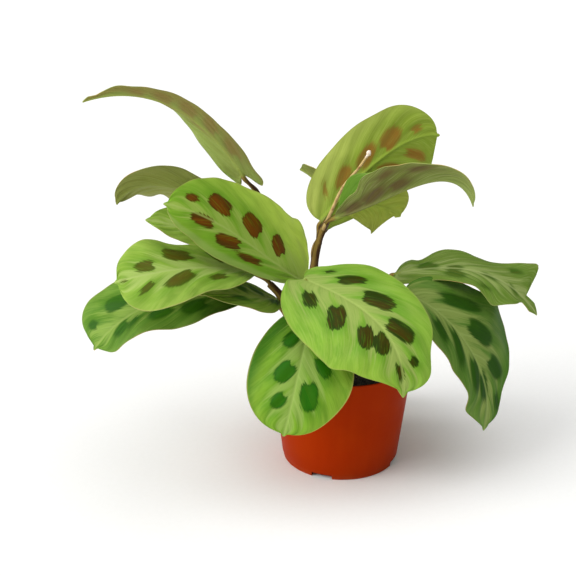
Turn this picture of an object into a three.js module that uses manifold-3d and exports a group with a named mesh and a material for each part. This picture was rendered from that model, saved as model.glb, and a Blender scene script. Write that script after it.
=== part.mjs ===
// Potted prayer plant (maranta): a tapered plastic pot with soil, six leafy stems and 18 blades.
// Millimetres, +Z up. The pot stands on Z = 0 with its axis on X = Y = 0; -Y is its front.
import * as THREE from "three";
import { mergeVertices } from "three/addons/utils/BufferGeometryUtils.js";
import Module from "manifold-3d";

const wasm = await Module();
wasm.setup();

// driving dimensions
const potHeight = 76;
const potTopRadius = 51;
const potBaseRadius = 41.5;
const potWall = 1.3;
const potFloor = 1.6;
const footHeight = 3.6; // the narrower foot below the taper
const notchHeight = 3.3;
const notchWidth = 15;
const notchReach = 5; // how far a notch cuts in from the foot's edge
const firstNotchTurn = 21; // degrees to the left of the front
const notchCount = 4;
const soilLevel = 68;
const soilRoughness = 0.9;
const clearance = 0.3; // between pieces that touch on the real plant
const bladeThickness = 0.7;
const midribDepth = 0.7; // how far the midrib stands out under the blade at its base
const petioleRadius = 1.25;

// mesh density
const bladeRows = 14;
const bladeColumns = 8;
const stemSides = 7;
const potSegments = 56;

const colours = {
  pot: 0xa63a10,
  soil: 0x1d1612,
  leaf: 0x7aa832,
  leafUnder: 0x7f8f3c,
  leafDeep: 0x4f7f2e,
  stem: 0x5a3a26,
  driedStalk: 0xd9c08a,
};

const vector = (p) => new THREE.Vector3(...p);
const mix = (a, b, t) => a + (b - a) * t;
const radians = (degrees) => (degrees * Math.PI) / 180;

function material(colour, roughness = 0.55) {
  return new THREE.MeshStandardMaterial({ color: colour, roughness, metalness: 0 });
}

function geometryFrom(positions, index) {
  const geometry = new THREE.BufferGeometry();
  geometry.setAttribute("position", new THREE.Float32BufferAttribute(positions, 3));
  geometry.setIndex(index);
  geometry.computeVertexNormals();
  return geometry;
}

// joins and cuts

function toSolid(geometry) {
  const bare = geometry.clone();
  bare.deleteAttribute("normal");
  bare.deleteAttribute("uv");
  const merged = mergeVertices(bare, 1e-3);
  return new wasm.Manifold(new wasm.Mesh({
    numProp: 3,
    vertProperties: new Float32Array(merged.attributes.position.array),
    triVerts: new Uint32Array(merged.index.array),
  }));
}

function fromSolid(solid) {
  const mesh = solid.getMesh();
  return geometryFrom([...mesh.vertProperties], [...mesh.triVerts]);
}

const join = (geometries) => fromSolid(geometries.map(toSolid).reduce((a, b) => a.add(b)));
const cut = (geometry, tools) => fromSolid(tools.map(toSolid).reduce((a, b) => a.subtract(b),
  toSolid(geometry)));

// pot

function potRadiusAt(z) {
  return mix(potBaseRadius, potTopRadius, z / potHeight);
}

function latheZ(points, segments) {
  const profile = points.map(([r, z]) => new THREE.Vector2(r, z));
  return new THREE.LatheGeometry(profile, segments).rotateX(Math.PI / 2);
}

function potGeometry() {
  const shoulder = footHeight + 0.8;
  const body = latheZ([
    [0, 0],
    [potBaseRadius - 0.9, 0],
    [potBaseRadius - 0.4, 0.5],
    [potBaseRadius - 0.1, footHeight],
    [potRadiusAt(shoulder), shoulder],
    [potRadiusAt(potHeight / 2), potHeight / 2],
    [potTopRadius, potHeight - 0.6],
    [potTopRadius - 0.4, potHeight],
    [potTopRadius - potWall + 0.2, potHeight],
    [potTopRadius - potWall - 0.1, potHeight - 0.6],
    [potRadiusAt(potFloor) - potWall, potFloor],
    [0, potFloor],
  ], potSegments);
  const notches = [];
  for (let i = 0; i < notchCount; i++) {
    const turn = radians(-90 - firstNotchTurn + (i * 360) / notchCount);
    const reach = potBaseRadius - notchReach;
    const notch = new THREE.BoxGeometry(2 * notchReach + 2, notchWidth, 2 * notchHeight);
    notch.translate(reach + notchReach + 1, 0, 0).rotateZ(turn);
    notches.push(notch);
  }
  return cut(body, notches);
}

// soil

function roughTop(x, y) {
  const radius = Math.hypot(x, y) / potTopRadius;
  const lumps = Math.sin(0.31 * x + 1.3) * Math.cos(0.27 * y) + 0.6 * Math.sin(0.55 * y + 0.38 * x);
  return 1.6 * (1 - radius * radius) + soilRoughness * lumps * (1 - radius ** 6);
}

function soilGeometry(stems) {
  const inside = (z) => potRadiusAt(z) - potWall - 1.5 * clearance;
  const rim = inside(soilLevel);
  const bottom = potFloor + clearance;
  const rings = [0.93, 0.78, 0.6, 0.42, 0.2].map((share) => [share * rim, soilLevel]);
  const body = latheZ([
    [0, bottom],
    [inside(bottom) - 0.2, bottom],
    [rim, soilLevel - 1],
    ...rings,
    [0, soilLevel],
  ], potSegments);
  const position = body.attributes.position;
  for (let i = 0; i < position.count; i++) {
    if (position.getZ(i) < soilLevel - 0.5) continue;
    position.setZ(i, soilLevel + roughTop(position.getX(i), position.getY(i)));
  }
  const holes = stems.map(({ path, radii }) => {
    const [x, y, z] = path[0];
    const depth = soilLevel + 6 - z;
    const hole = new THREE.CylinderGeometry(radii[0] + 1.1, radii[0] + 0.6, depth, 12);
    return hole.rotateX(Math.PI / 2).translate(x, y, z - clearance + depth / 2);
  });
  return cut(body, holes);
}

// blades: a rib curve, a facing at its base and tip, and for the left and right half
// (seen from the base towards the tip, upper face up) the half width, the outline
// [place of the widest point, fullness at the base, fullness at the tip], the fold up from the
// midrib in degrees and the curl to the margin in degrees, each [at base, at tip], the wave
// of the margin [height, waves along the blade, phase] and the bulges and dips of the outline
// [place, height, spread]. tail and dripTip are the length and half width of the drawn-out tip

const plainHalf = {
  outline: [0.45, 0.5, 0.55], fold: [6, 4], curl: [-18, -18], wave: [1, 2, 0.1], bulges: [],
};
const half = (width, extra = {}) => ({ ...plainHalf, width, ...extra });

const blades = {
  leaf_front: {
    rib: [[-35, -32, 149], [-3, -46, 138], [37, -74, 130], [34, -84, 84]],
    facing: [[-0.05, -0.5, 0.85], [0.25, -0.8, 0.5]],
    left: half(35, {
      outline: [0.5, 0.45, 0.52], curl: [-22, -22], bulges: [[0.12, -5, 0.08], [0.3, 2, 0.1]],
    }),
    right: half(48, {
      outline: [0.46, 0.42, 0.95], curl: [-18, -10], wave: [1, 2, 0.4],
      bulges: [[0.08, 3, 0.09], [0.5, -4.5, 0.09], [0.66, 1.5, 0.08], [0.84, 4, 0.07]],
    }),
    tail: 0.03,
    dripTip: 7,
  },
  leaf_front_low: {
    rib: [[-20, -38, 128], [-29, -62, 110], [-32, -80, 91], [-41, -86, 58]],
    facing: [[-0.1, -0.7, 0.7], [-0.05, -0.95, 0.3]],
    left: half(33, { outline: [0.5, 0.5, 0.5], curl: [-16, -18], bulges: [[0.64, 1.5, 0.15]] }),
    right: half(32.5, { outline: [0.6, 0.6, 0.42], curl: [-22, -22], wave: [1, 2, 0.4] }),
  },
  leaf_left_big: {
    rib: [[-25, -11, 135], [-52, -33, 156], [-77, -52, 194], [-114, -58, 202]],
    facing: [[0.1, -0.72, 0.65], [-0.05, -0.62, 0.8]],
    left: half(22, { outline: [0.62, 1.1, 0.4], curl: [-42, -42] }),
    right: half(44, {
      outline: [0.38, 0.2, 0.56], curl: [-22, -14], wave: [1, 2, 0.4],
      bulges: [[0.05, 11, 0.1], [0.52, -3, 0.18]],
    }),
  },
  leaf_left_middle: {
    rib: [[-59, -26, 147], [-84, -56, 164], [-112, -78, 167], [-142, -84, 160]],
    facing: [[0.1, -0.45, 0.85], [-0.1, -0.6, 0.8]],
    left: half(27, { outline: [0.8, 0.9, 0.28], wave: [1, 1.6, 0.2], bulges: [[0.52, -3.5, 0.12]] }),
    right: half(28, { outline: [0.72, 0.7, 0.42], wave: [3, 2, 0.75] }),
  },
  leaf_left_low: {
    rib: [[-58, -16, 128], [-96, -42, 146], [-140, -62, 141], [-162, -62, 107]],
    facing: [[0.1, -0.4, 0.9], [-0.35, -0.65, 0.65]],
    left: half(23, {
      outline: [0.55, 0.9, 0.65], wave: [2, 2.6, 0.2],
      bulges: [[0.92, 4, 0.06], [0.7, -3, 0.1], [0.44, 2.5, 0.08]],
    }),
    right: half(34, { outline: [0.86, 1, 0.26], wave: [2, 1.6, 0.5] }),
    colour: colours.leafDeep,
  },
  leaf_left_tucked: {
    rib: [[-45, -10, 123], [-57, -35, 133], [-78, -50, 143], [-100, -54, 143]],
    facing: [[0.05, -0.45, 0.9], [0, -0.5, 0.85]],
    left: half(15.5, { outline: [0.33, 1.1, 1.4] }),
    right: half(24),
    colour: colours.leafDeep,
  },
  leaf_left_under: {
    rib: [[-56, -2, 150], [-80, -13, 168], [-109, -20, 178], [-130, -28, 184]],
    facing: [[0.1, -0.3, 0.9], [0, -0.5, 0.85]],
    left: half(15.5),
    right: half(23, { outline: [0.6, 0.5, 0.8], wave: [1, 2, 0.4] }),
  },
  leaf_left_back: {
    rib: [[-68, 14, 169], [-94, 6, 194], [-136, -4, 215], [-152, -8, 189]],
    facing: [[0.2, 0.6, 0.8], [-0.4, 0.5, 0.8]],
    left: half(14.5, { outline: [0.7, 0.6, 0.6], fold: [34, 30], curl: [10, 10] }),
    right: half(35, { outline: [0.45, 0.5, 0.6], fold: [10, 4], curl: [10, 10], wave: [2, 3.4, 0.3] }),
    colour: colours.leafUnder,
  },
  leaf_left_tall: {
    rib: [[-65, -5, 204], [-81, -14, 233], [-112, -30, 277], [-163, -40, 261]],
    facing: [[0.3, 0.9, 0.2], [0.1, 0.3, 0.95]],
    left: half(9, {
      outline: [0.25, 0.15, 0.6], fold: [30, 34], curl: [10, 10],
      bulges: [[0.02, 7, 0.03], [0.09, -3, 0.04], [0.82, 2.5, 0.06]],
    }),
    right: half(17, {
      outline: [0.3, 0.45, 0.9], fold: [0, 45], curl: [10, 10], wave: [1, 2, 0.4],
      bulges: [[0.62, 4, 0.07]],
    }),
    colour: colours.leafUnder,
  },
  leaf_right_tall: {
    rib: [[-14.5, 18, 170.5], [6, 22, 197], [38, 28, 232], [66.5, 30, 228.5]],
    facing: [[0.1, 0.97, 0.1], [0.1, 0.97, 0.1]],
    left: half(29, {
      outline: [0.62, 0.75, 0.16], curl: [8, 8], bulges: [[0.03, 3, 0.025], [0.94, 6, 0.06]],
    }),
    right: half(29.5, {
      outline: [0.5, 0.33, 0.52], fold: [12, 0], curl: [8, 8], wave: [1, 2, 0.4],
      bulges: [[0.7, 1.5, 0.12]],
    }),
    colour: colours.leafUnder,
  },
  leaf_right_folded: {
    rib: [[-6, -5, 180], [26, -12, 188], [68, -22, 231], [81, -30, 193]],
    facing: [[0.05, 0.1, 1], [0.1, 0, 1]],
    left: half(23, {
      outline: [0.45, 1.1, 0.6], fold: [88, -20], curl: [5, 5], bulges: [[0.2, 6, 0.12]],
    }),
    right: half(24, {
      outline: [0.36, 0.4, 0.5], fold: [60, 34], curl: [5, 5], wave: [1, 2, 0.4],
      bulges: [[0.08, -7, 0.1], [0.2, -6, 0.07]],
    }),
    colour: colours.leafUnder,
  },
  leaf_right_back: {
    rib: [[-3, 3, 180], [11, 6, 187], [28, 9, 187], [39, 10, 176]],
    facing: [[0.1, 0.9, 0.2], [0.2, 0.9, 0.1]],
    left: half(21, {
      outline: [0.72, 1.2, 0.9], curl: [8, 8], bulges: [[0.78, 4, 0.08], [0.92, -5, 0.05]],
    }),
    right: half(18, { outline: [0.8, 0.6, 0.5], curl: [8, 8], wave: [2, 2, 0.4] }),
    colour: colours.leafUnder,
  },
  leaf_right_high: {
    rib: [[40, 5, 138], [70, -1, 146], [109, -8, 149], [133, -12, 112]],
    facing: [[0, -0.2, 1], [0.2, -0.25, 0.95]],
    left: half(27, {
      outline: [0.88, 0.8, 0.2], fold: [4, 14], curl: [-10, -5], wave: [6, 2, 0.62],
      bulges: [[0.05, 15, 0.07], [0.56, -6, 0.15], [0.83, 6, 0.05]],
    }),
    right: half(19, {
      outline: [0.65, 1.6, 0.4], fold: [-10, -14], curl: [-15, -25], wave: [3, 1.8, 0.5],
      bulges: [[0.05, 3, 0.05], [0.6, -5, 0.2]],
    }),
    tail: 0.14,
    dripTip: 9,
  },
  leaf_right_low: {
    rib: [[42, -24, 131], [68, -37, 127], [106, -36, 80], [96, -40, 38]],
    facing: [[0.2, -0.5, 0.85], [0.6, -0.75, 0.25]],
    left: half(37, {
      outline: [0.38, 0.46, 0.9], curl: [-20, -20], wave: [2, 2.6, 0.2],
      bulges: [[0.36, 1, 0.07], [0.52, 8, 0.14], [0.8, -5, 0.08], [0.93, 2.5, 0.04]],
    }),
    right: half(21, {
      outline: [0.4, 0.5, 0.6], curl: [-20, -20], wave: [2, 2.6, 0.5],
      bulges: [[0.84, 6, 0.09], [0.4, -2, 0.1]],
    }),
    colour: colours.leafDeep,
  },
  leaf_rear_young: {
    rib: [[-5, 28, 173], [-8, 40, 184], [-16, 55, 193], [-29, 66, 197]],
    facing: [[0.3, 0.5, 0.85], [0.3, 0.5, 0.9]],
    left: half(11, { outline: [0.6, 0.5, 0.35], fold: [40, 40] }),
    right: half(10, { outline: [0.6, 0.5, 0.25], fold: [40, 40], wave: [1, 2, 0.4] }),
    colour: colours.leafDeep,
  },
  leaf_rear_right: {
    rib: [[7, 30, 116], [30, 60, 107], [53, 85, 78], [62, 95, 32]],
    facing: [[0.2, 0.5, 0.85], [0.3, 0.8, 0.4]],
    left: half(26),
    right: half(26, { wave: [1, 2, 0.4] }),
  },
  leaf_rear_middle: {
    rib: [[-15, 30, 126], [-15, 60, 121], [-14, 85, 92], [-14, 90, 48]],
    facing: [[0, 0.5, 0.85], [0, 0.8, 0.4]],
    left: half(22),
    right: half(22, { wave: [1, 2, 0.4] }),
  },
  leaf_rear_left: {
    rib: [[-34, 32, 135], [-51, 56, 164], [-78, 80, 174], [-102, 95, 155]],
    facing: [[-0.2, 0.5, 0.85], [-0.3, 0.8, 0.4]],
    left: half(22),
    right: half(22, { wave: [1, 2, 0.4] }),
  },
};

const ribCurve = (blade) => new THREE.CubicBezierCurve3(...blade.rib.map(vector));

function halfWidthAt(blade, side, t) {
  const tail = blade.tail ?? 0.02;
  const [widest, base, tip] = side.outline;
  const place = Math.min(t / (1 - tail), 1);
  const away = place < widest ? (widest - place) / widest : (place - widest) / (1 - widest);
  const full = (1 - away * away) ** (place < widest ? base : tip);
  let width = side.width * full;
  for (const [middle, rise, spread] of side.bulges) {
    width += rise * Math.exp(-(((t - middle) / spread) ** 2)) * Math.min(1, 3 * full);
  }
  const least = mix(1.6, 0.4, t) + t ** 3 * Math.min(blade.dripTip ?? 3, 90 * (1 - t));
  return Math.max(width, least);
}

// a point of the blade's middle surface, t from base to tip and s from -1 (left) to 1 (right)
function bladePoint(blade, rib, t, s) {
  const along = rib.getTangentAt(t);
  const facing = vector(blade.facing[0]).normalize()
    .lerp(vector(blade.facing[1]).normalize(), t);
  facing.addScaledVector(along, -facing.dot(along)).normalize();
  const across = new THREE.Vector3().crossVectors(along, facing);
  const side = s < 0 ? blade.left : blade.right;
  const reach = Math.abs(s) * halfWidthAt(blade, side, t);
  const fold = radians(mix(...side.fold, t));
  const curl = radians(mix(...side.curl, t) || 0.01) / side.width;
  const out = (Math.sin(fold + curl * reach) - Math.sin(fold)) / curl;
  const [height, waves, phase] = side.wave;
  const lift = (Math.cos(fold) - Math.cos(fold + curl * reach)) / curl
    + height * (reach / side.width) ** 2 * Math.sin(2 * Math.PI * (waves * t + phase));
  return rib.getPointAt(t).addScaledVector(across, Math.sign(s) * out).addScaledVector(facing, lift);
}

function bladeNormal(blade, rib, t, s) {
  const step = 0.01;
  const clamp = (value, low, high) => Math.min(Math.max(value, low), high);
  const forward = bladePoint(blade, rib, clamp(t + step, 0, 1), s)
    .sub(bladePoint(blade, rib, clamp(t - step, 0, 1), s));
  const sideways = bladePoint(blade, rib, t, clamp(s + step, -1, 1))
    .sub(bladePoint(blade, rib, t, clamp(s - step, -1, 1)));
  return sideways.cross(forward).normalize();
}

function bladeGeometry(blade) {
  const rib = ribCurve(blade);
  const top = [];
  const under = [];
  for (let i = 0; i <= bladeRows; i++) {
    const t = (1 - Math.cos((Math.PI * i) / bladeRows)) / 2;
    for (let j = 0; j <= bladeColumns; j++) {
      const s = (2 * j) / bladeColumns - 1;
      const point = bladePoint(blade, rib, t, s);
      const normal = bladeNormal(blade, rib, t, s);
      const keel = s === 0 ? midribDepth * (1 - t) : 0;
      top.push(...point.clone().addScaledVector(normal, bladeThickness / 2));
      under.push(...point.addScaledVector(normal, -bladeThickness / 2 - keel));
    }
  }
  const columns = bladeColumns + 1;
  const count = top.length / 3;
  const index = [];
  const quad = (a, b, c, d) => index.push(a, b, c, a, c, d);
  for (let i = 0; i < bladeRows; i++) {
    for (let j = 0; j < bladeColumns; j++) {
      const a = i * columns + j;
      const d = a + columns;
      quad(a, a + 1, d + 1, d);
      index.push(count + a, count + d + 1, count + a + 1, count + a, count + d, count + d + 1);
    }
    const left = i * columns;
    const right = left + bladeColumns;
    quad(left, left + columns, count + left + columns, count + left);
    quad(right + columns, right, count + right, count + right + columns);
  }
  const last = bladeRows * columns;
  for (let j = 0; j < bladeColumns; j++) {
    quad(j + 1, j, count + j, count + j + 1);
    quad(last + j, last + j + 1, count + last + j + 1, count + last + j);
  }
  return geometryFrom([...top, ...under], index);
}

// stems: a path up from the soil with the radius at its points, and the blades it carries,
// each on a petiole that leaves the path at its first point and bends through the second

const stems = {
  stem_upper_right: {
    path: [[-14, 5, 50], [-14.4, 5, 71], [-20, 5, 104], [-19.6, 6, 144], [-16, 7, 162], [-11, 8, 175]],
    radii: [3.1, 3, 3, 2.9, 2.7, 1.9],
    petioles: {
      leaf_right_tall: [[-16.3, 8.5, 156], [-16.6, 13.5, 161.5]],
      leaf_right_folded: [[-13, 7.4, 168], [-7.4, 0.5, 174]],
      leaf_right_back: [[-13, 7.5, 168], [-10, 5, 175]],
      leaf_rear_young: [[-19.5, 6, 140], [-19, 22, 152]],
    },
  },
  stem_upper_left: {
    path: [[-20, 17, 50], [-20.6, 17, 71], [-31, 23, 104], [-44, 19, 148], [-53, 8, 181], [-60, 0, 197]],
    radii: [3, 2.9, 2.7, 2.3, 1.8, 1.6],
    petioles: {
      leaf_left_tall: [[-57, 4, 190], [-60, 0, 197]],
      leaf_left_back: [[-42, 20, 140], [-54, 20, 152]],
      leaf_left_under: [[-38, 22, 124], [-44, 12, 136]],
      leaf_rear_left: [[-31, 23, 96], [-29, 24, 118]],
    },
  },
  stem_left: {
    path: [
      [-23, -7, 50], [-23.4, -7, 71], [-29, -12, 92], [-36, -19.5, 116], [-43, -22.5, 130],
      [-51, -24, 139.5],
    ],
    radii: [3, 2.9, 2.8, 2.7, 2.5, 1.8],
    petioles: {
      leaf_left_middle: [[-43, -22.5, 130], [-51, -23.5, 140]],
      leaf_left_low: [[-33, -15.5, 100], [-43, -10, 116]],
      leaf_left_tucked: [[-30, -13, 88], [-36, -5, 108]],
    },
  },
  stem_front: {
    path: [[-7, -13, 50], [-7.3, -13.3, 71], [-12, -18, 90], [-18, -24, 112], [-24, -28, 130]],
    radii: [3, 2.9, 2.7, 2.4, 1.7],
    petioles: {
      leaf_front: [[-22, -27, 124], [-34, -31, 141]],
      leaf_front_low: [[-13, -20, 92], [-16, -24, 122]],
      leaf_left_big: [[-14, -21, 98], [-17, -9, 116]],
    },
  },
  stem_right: {
    path: [[15, -5, 50], [15.3, -5, 71], [21, -4, 94], [31, 0, 121], [39, 4, 134]],
    radii: [2.9, 2.8, 2.6, 2.3, 1.7],
    petioles: {
      leaf_right_high: [[32, 0.8, 123], [33.5, 4.5, 133]],
      leaf_right_low: [[22, -3.6, 96], [28, -14, 122]],
    },
  },
  stem_rear: {
    path: [[5, 15, 50], [4.8, 15.3, 71], [2, 19, 86], [-3, 23, 108]],
    radii: [2.8, 2.7, 2.5, 1.8],
    petioles: {
      leaf_rear_right: [[2, 20, 84], [-1, 21, 110]],
      leaf_rear_middle: [[-2, 22.4, 104], [-11, 20, 120]],
    },
  },
};

// a closed round tube along a curve, its radius given at even steps and evened out between
function taperedTube(curve, radii, steps, sides = stemSides) {
  const frames = curve.computeFrenetFrames(steps, false);
  const positions = [];
  const index = [];
  for (let i = 0; i <= steps; i++) {
    const centre = curve.getPointAt(i / steps);
    const place = (i / steps) * (radii.length - 1);
    const low = Math.min(Math.floor(place), radii.length - 2);
    const radius = mix(radii[low], radii[low + 1], place - low);
    for (let k = 0; k < sides; k++) {
      const angle = (2 * Math.PI * k) / sides;
      positions.push(...centre.clone()
        .addScaledVector(frames.normals[i], radius * Math.cos(angle))
        .addScaledVector(frames.binormals[i], radius * Math.sin(angle)));
    }
  }
  for (let i = 0; i < steps; i++) {
    for (let k = 0; k < sides; k++) {
      const a = i * sides + k;
      const b = i * sides + ((k + 1) % sides);
      index.push(a, b, b + sides, a, b + sides, a + sides);
    }
  }
  const start = positions.length / 3;
  positions.push(...curve.getPointAt(0), ...curve.getPointAt(1));
  const last = steps * sides;
  for (let k = 0; k < sides; k++) {
    const next = (k + 1) % sides;
    index.push(start, next, k, start + 1, last + k, last + next);
  }
  return geometryFrom(positions, index);
}

const throughPoints = (points) => new THREE.CatmullRomCurve3(points.map(vector), false, "centripetal");

// a petiole ends just short of its blade's base, with a sheath where it leaves the stem
function petioleGeometry(points, blade) {
  const rib = ribCurve(blade);
  const before = (length) => rib.getPointAt(0).addScaledVector(rib.getTangentAt(0), -length).toArray();
  const curve = throughPoints([...points, before(5), before(clearance + 0.1)]);
  const sheath = petioleRadius + 0.75;
  return taperedTube(curve, [sheath, sheath, petioleRadius + 0.2, petioleRadius, petioleRadius], 8);
}

function stemGeometry({ path, radii, petioles }) {
  const main = taperedTube(throughPoints(path), radii, 12);
  const branches = Object.entries(petioles).map(([name, points]) =>
    petioleGeometry(points, blades[name]));
  return join([main, ...branches]);
}

// dried flower stalk with a small bract and a blunt tip, beside the upper right stem
const driedStalk = {
  path: [[-14.6, 2.2, 168], [-9, 1.6, 181], [-1, 8, 196.5], [11, 11, 211], [16.5, 11, 219.8]],
  radii: [1.3, 1.15, 1.1, 1, 1.3],
  bract: [[-2, 7.4, 195], [0.5, 8.4, 198.5], [4.5, 9.4, 201]],
};

function driedStalkGeometry() {
  const stalk = taperedTube(throughPoints(driedStalk.path), driedStalk.radii, 12);
  const bract = taperedTube(throughPoints(driedStalk.bract), [0.7, 1, 0.4], 4, 6);
  const tip = new THREE.SphereGeometry(1.7, 10, 7).translate(...driedStalk.path.at(-1));
  return join([stalk, bract, tip]);
}

const plant = new THREE.Group();

function add(name, geometry, look) {
  const mesh = new THREE.Mesh(geometry, look);
  mesh.name = name;
  plant.add(mesh);
}

add("pot", potGeometry(), material(colours.pot, 0.5));
add("soil", soilGeometry(Object.values(stems)), material(colours.soil, 0.95));
for (const [name, stem] of Object.entries(stems)) {
  add(name, stemGeometry(stem), material(colours.stem, 0.6));
}
add("dried_flower_stalk", driedStalkGeometry(), material(colours.driedStalk, 0.8));
for (const [name, blade] of Object.entries(blades)) {
  add(name, bladeGeometry(blade), material(blade.colour ?? colours.leaf, 0.45));
}

export default plant;
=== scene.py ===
# Potted prayer plant (maranta) in a tapered plastic nursery pot, for Blender 4.5.
# The scene is in metres, +Z up, with the front at -Y. Lengths in the tables are millimetres.
import random
from bisect import bisect_left
from math import cos, exp, hypot, pi, radians, sin

import bpy
from mathutils import Matrix, Vector, noise
from mathutils.geometry import interpolate_bezier


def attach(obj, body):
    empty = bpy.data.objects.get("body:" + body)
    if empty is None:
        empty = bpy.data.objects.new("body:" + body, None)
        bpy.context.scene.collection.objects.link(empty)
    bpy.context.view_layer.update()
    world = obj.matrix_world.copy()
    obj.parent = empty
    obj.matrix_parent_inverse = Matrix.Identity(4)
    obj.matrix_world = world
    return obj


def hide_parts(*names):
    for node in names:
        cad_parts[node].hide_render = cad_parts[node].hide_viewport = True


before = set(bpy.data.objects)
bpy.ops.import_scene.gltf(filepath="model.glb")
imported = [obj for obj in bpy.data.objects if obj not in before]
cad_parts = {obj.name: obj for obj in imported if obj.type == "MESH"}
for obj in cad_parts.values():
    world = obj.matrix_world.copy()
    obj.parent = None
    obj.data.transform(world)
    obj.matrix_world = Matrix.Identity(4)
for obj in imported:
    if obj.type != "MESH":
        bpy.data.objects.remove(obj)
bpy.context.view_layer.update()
mm = 0.001
print("frame loaded")


def mix(a, b, t):
    return a + (b - a) * t


def limit(value, low, high):
    return min(max(value, low), high)


def easeIn(low, high, value):
    t = limit((value - low) / (high - low), 0, 1)
    return t * t * (3 - 2 * t)


def selectOnly(*pieces):
    bpy.ops.object.select_all(action="DESELECT")
    for piece in pieces:
        piece.select_set(True)
    bpy.context.view_layer.objects.active = pieces[0]


def addShape(add, **settings):
    # a new primitive, with nothing else selected
    bpy.ops.object.select_all(action="DESELECT")
    add(**settings)
    return bpy.context.object


def copyPiece(piece, name):
    fresh = piece.copy()
    fresh.data = piece.data.copy()
    fresh.name = name
    fresh.data.name = name
    bpy.context.scene.collection.objects.link(fresh)
    return fresh


def joinPieces(pieces, name):
    selectOnly(*pieces)
    bpy.ops.object.join()
    pieces[0].name = name
    pieces[0].data.name = name
    return pieces[0]


def applyModifier(piece, kind, **settings):
    selectOnly(piece)
    bpy.ops.object.modifier_add(type=kind)
    modifier = piece.modifiers[-1]
    for name, value in settings.items():
        setattr(modifier, name, value)
    bpy.ops.object.modifier_apply(modifier=modifier.name)


def openShape():
    # goes into edit mode with the outer edge of a flat shape selected
    bpy.ops.object.mode_set(mode="EDIT")
    bpy.ops.mesh.select_all(action="SELECT")
    bpy.ops.mesh.region_to_loop()


def closeShape():
    # fills the open loop that is selected, turns the faces outwards and leaves edit mode
    bpy.ops.mesh.edge_face_add()
    bpy.ops.mesh.select_all(action="SELECT")
    bpy.ops.mesh.normals_make_consistent(inside=False)
    bpy.ops.object.mode_set(mode="OBJECT")


def addPointValues(mesh, name, values):
    mesh.attributes.new(name, "FLOAT", "POINT").data.foreach_set("value", values)


def settle(piece, node):
    # the piece stands for its node and moves with the plant
    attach(piece, "root")
    if node:
        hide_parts(node)


# camera at the photograph's angle

cameraSettings = {"place": (-38, -620, 341), "tiltDown": 19, "lens": 59.06, "sensor": 36,
                  "clipStart": 0.01, "clipEnd": 60}

bpy.ops.object.camera_add(location=Vector(cameraSettings["place"]) * mm,
                          rotation=(radians(90 - cameraSettings["tiltDown"]), 0, 0))
camera = bpy.context.object
camera.name = "camera"
camera.data.lens = cameraSettings["lens"]
camera.data.sensor_width = cameraSettings["sensor"]
camera.data.clip_start = cameraSettings["clipStart"]
camera.data.clip_end = cameraSettings["clipEnd"]
bpy.context.scene.camera = camera
bpy.context.scene.view_settings.view_transform = "Standard"

# studio: a broad soft light from the left, another overhead and a dim white room

studio = {
    "roomStrength": 0.3,
    "keyAim": (0.86, 0.36, -0.50), "keySoftness": 50, "keyStrength": 2.6,
    "topAim": (0.05, 0.22, -0.97), "topSoftness": 70, "topStrength": 1.6,
}

for name in ("key", "top"):
    aim = Vector(studio[name + "Aim"])
    bpy.ops.object.light_add(type="SUN", location=(0, 0, 1),
                             rotation=aim.to_track_quat("-Z", "Y").to_euler())
    light = bpy.context.object
    light.name = name + "_light"
    light.data.angle = radians(studio[name + "Softness"])
    light.data.energy = studio[name + "Strength"]
world = bpy.data.worlds.new("white_room")
world.use_nodes = True
world.node_tree.nodes["Background"].inputs["Color"].default_value = (1, 1, 1, 1)
world.node_tree.nodes["Background"].inputs["Strength"].default_value = studio["roomStrength"]
bpy.context.scene.world = world
print("camera and light set")

# material helpers


def linearColour(hexText):
    parts = [int(hexText[i:i + 2], 16) / 255 for i in (0, 2, 4)]
    return (*[p / 12.92 if p <= 0.04045 else ((p + 0.055) / 1.055) ** 2.4 for p in parts], 1)


def setInputs(tree, node, inputs):
    # a hex text is a colour, and another node is read at its first output in use
    for socket, value in inputs.items():
        if isinstance(value, str):
            value = linearColour(value)
        if isinstance(value, bpy.types.Node):
            value = next(output for output in value.outputs if output.enabled)
        if isinstance(value, bpy.types.NodeSocket):
            tree.links.new(value, node.inputs[socket])
        else:
            node.inputs[socket].default_value = value


def addNode(tree, kind, inputs, **settings):
    # inputs 6 and 7 of a colour Mix are its two colours
    node = tree.nodes.new("ShaderNode" + kind)
    for name, value in settings.items():
        setattr(node, name, value)
    setInputs(tree, node, inputs)
    return node


def layCoats(tree, colour, coats, easing="SMOOTHSTEP"):
    # each coat is its tone, what drives it, where it starts and is full, and how strong it gets
    for tone, driver, start, full, strength in coats:
        share = addNode(tree, "MapRange", {
            "Value": driver, "From Min": start, "From Max": full, "To Max": strength},
            interpolation_type=easing)
        colour = addNode(tree, "Mix", {"Factor": share, 6: colour, 7: tone}, data_type="RGBA")
    return colour


def startMaterial(name, constants):
    # gives the material, its tree and shader, and the Object coordinates for its patterns
    material = bpy.data.materials.new(name)
    material.use_nodes = True
    tree = material.node_tree
    shader = tree.nodes["Principled BSDF"]
    setInputs(tree, shader, constants)
    return material, tree, shader, addNode(tree, "TexCoord", {}).outputs["Object"]


# leaf skins: living leaf tissue under a thin wax cuticle, a soft satin with a weak shine.
# "blade" holds side to side -1..1 and base to tip 0..1; "veins" holds mm from the midrib and
# a count that is whole on each side vein; "spot" is the depth in mm inside a leaf spot

skinSettings = {
    "streakScale": (0.1, 13.0, 1),  # streaks 10 mm long along the veins, fine veins 1.2 mm apart
    "patchScale": (0.13, 2.4, 1),   # patches 8 mm long, two or three from vein to vein
    "mottleScale": 55,              # soft patches about 18 mm wide
    "reliefDepth": 0.00012,         # metres
    "bandTaper": -2.3,              # how fast the pale band thins out towards the margin,
    "bandOnVein": 1.15, "bandAtBase": 0.6, "bandTorn": 1.1,  # where it widens, and its raggedness
}


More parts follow.
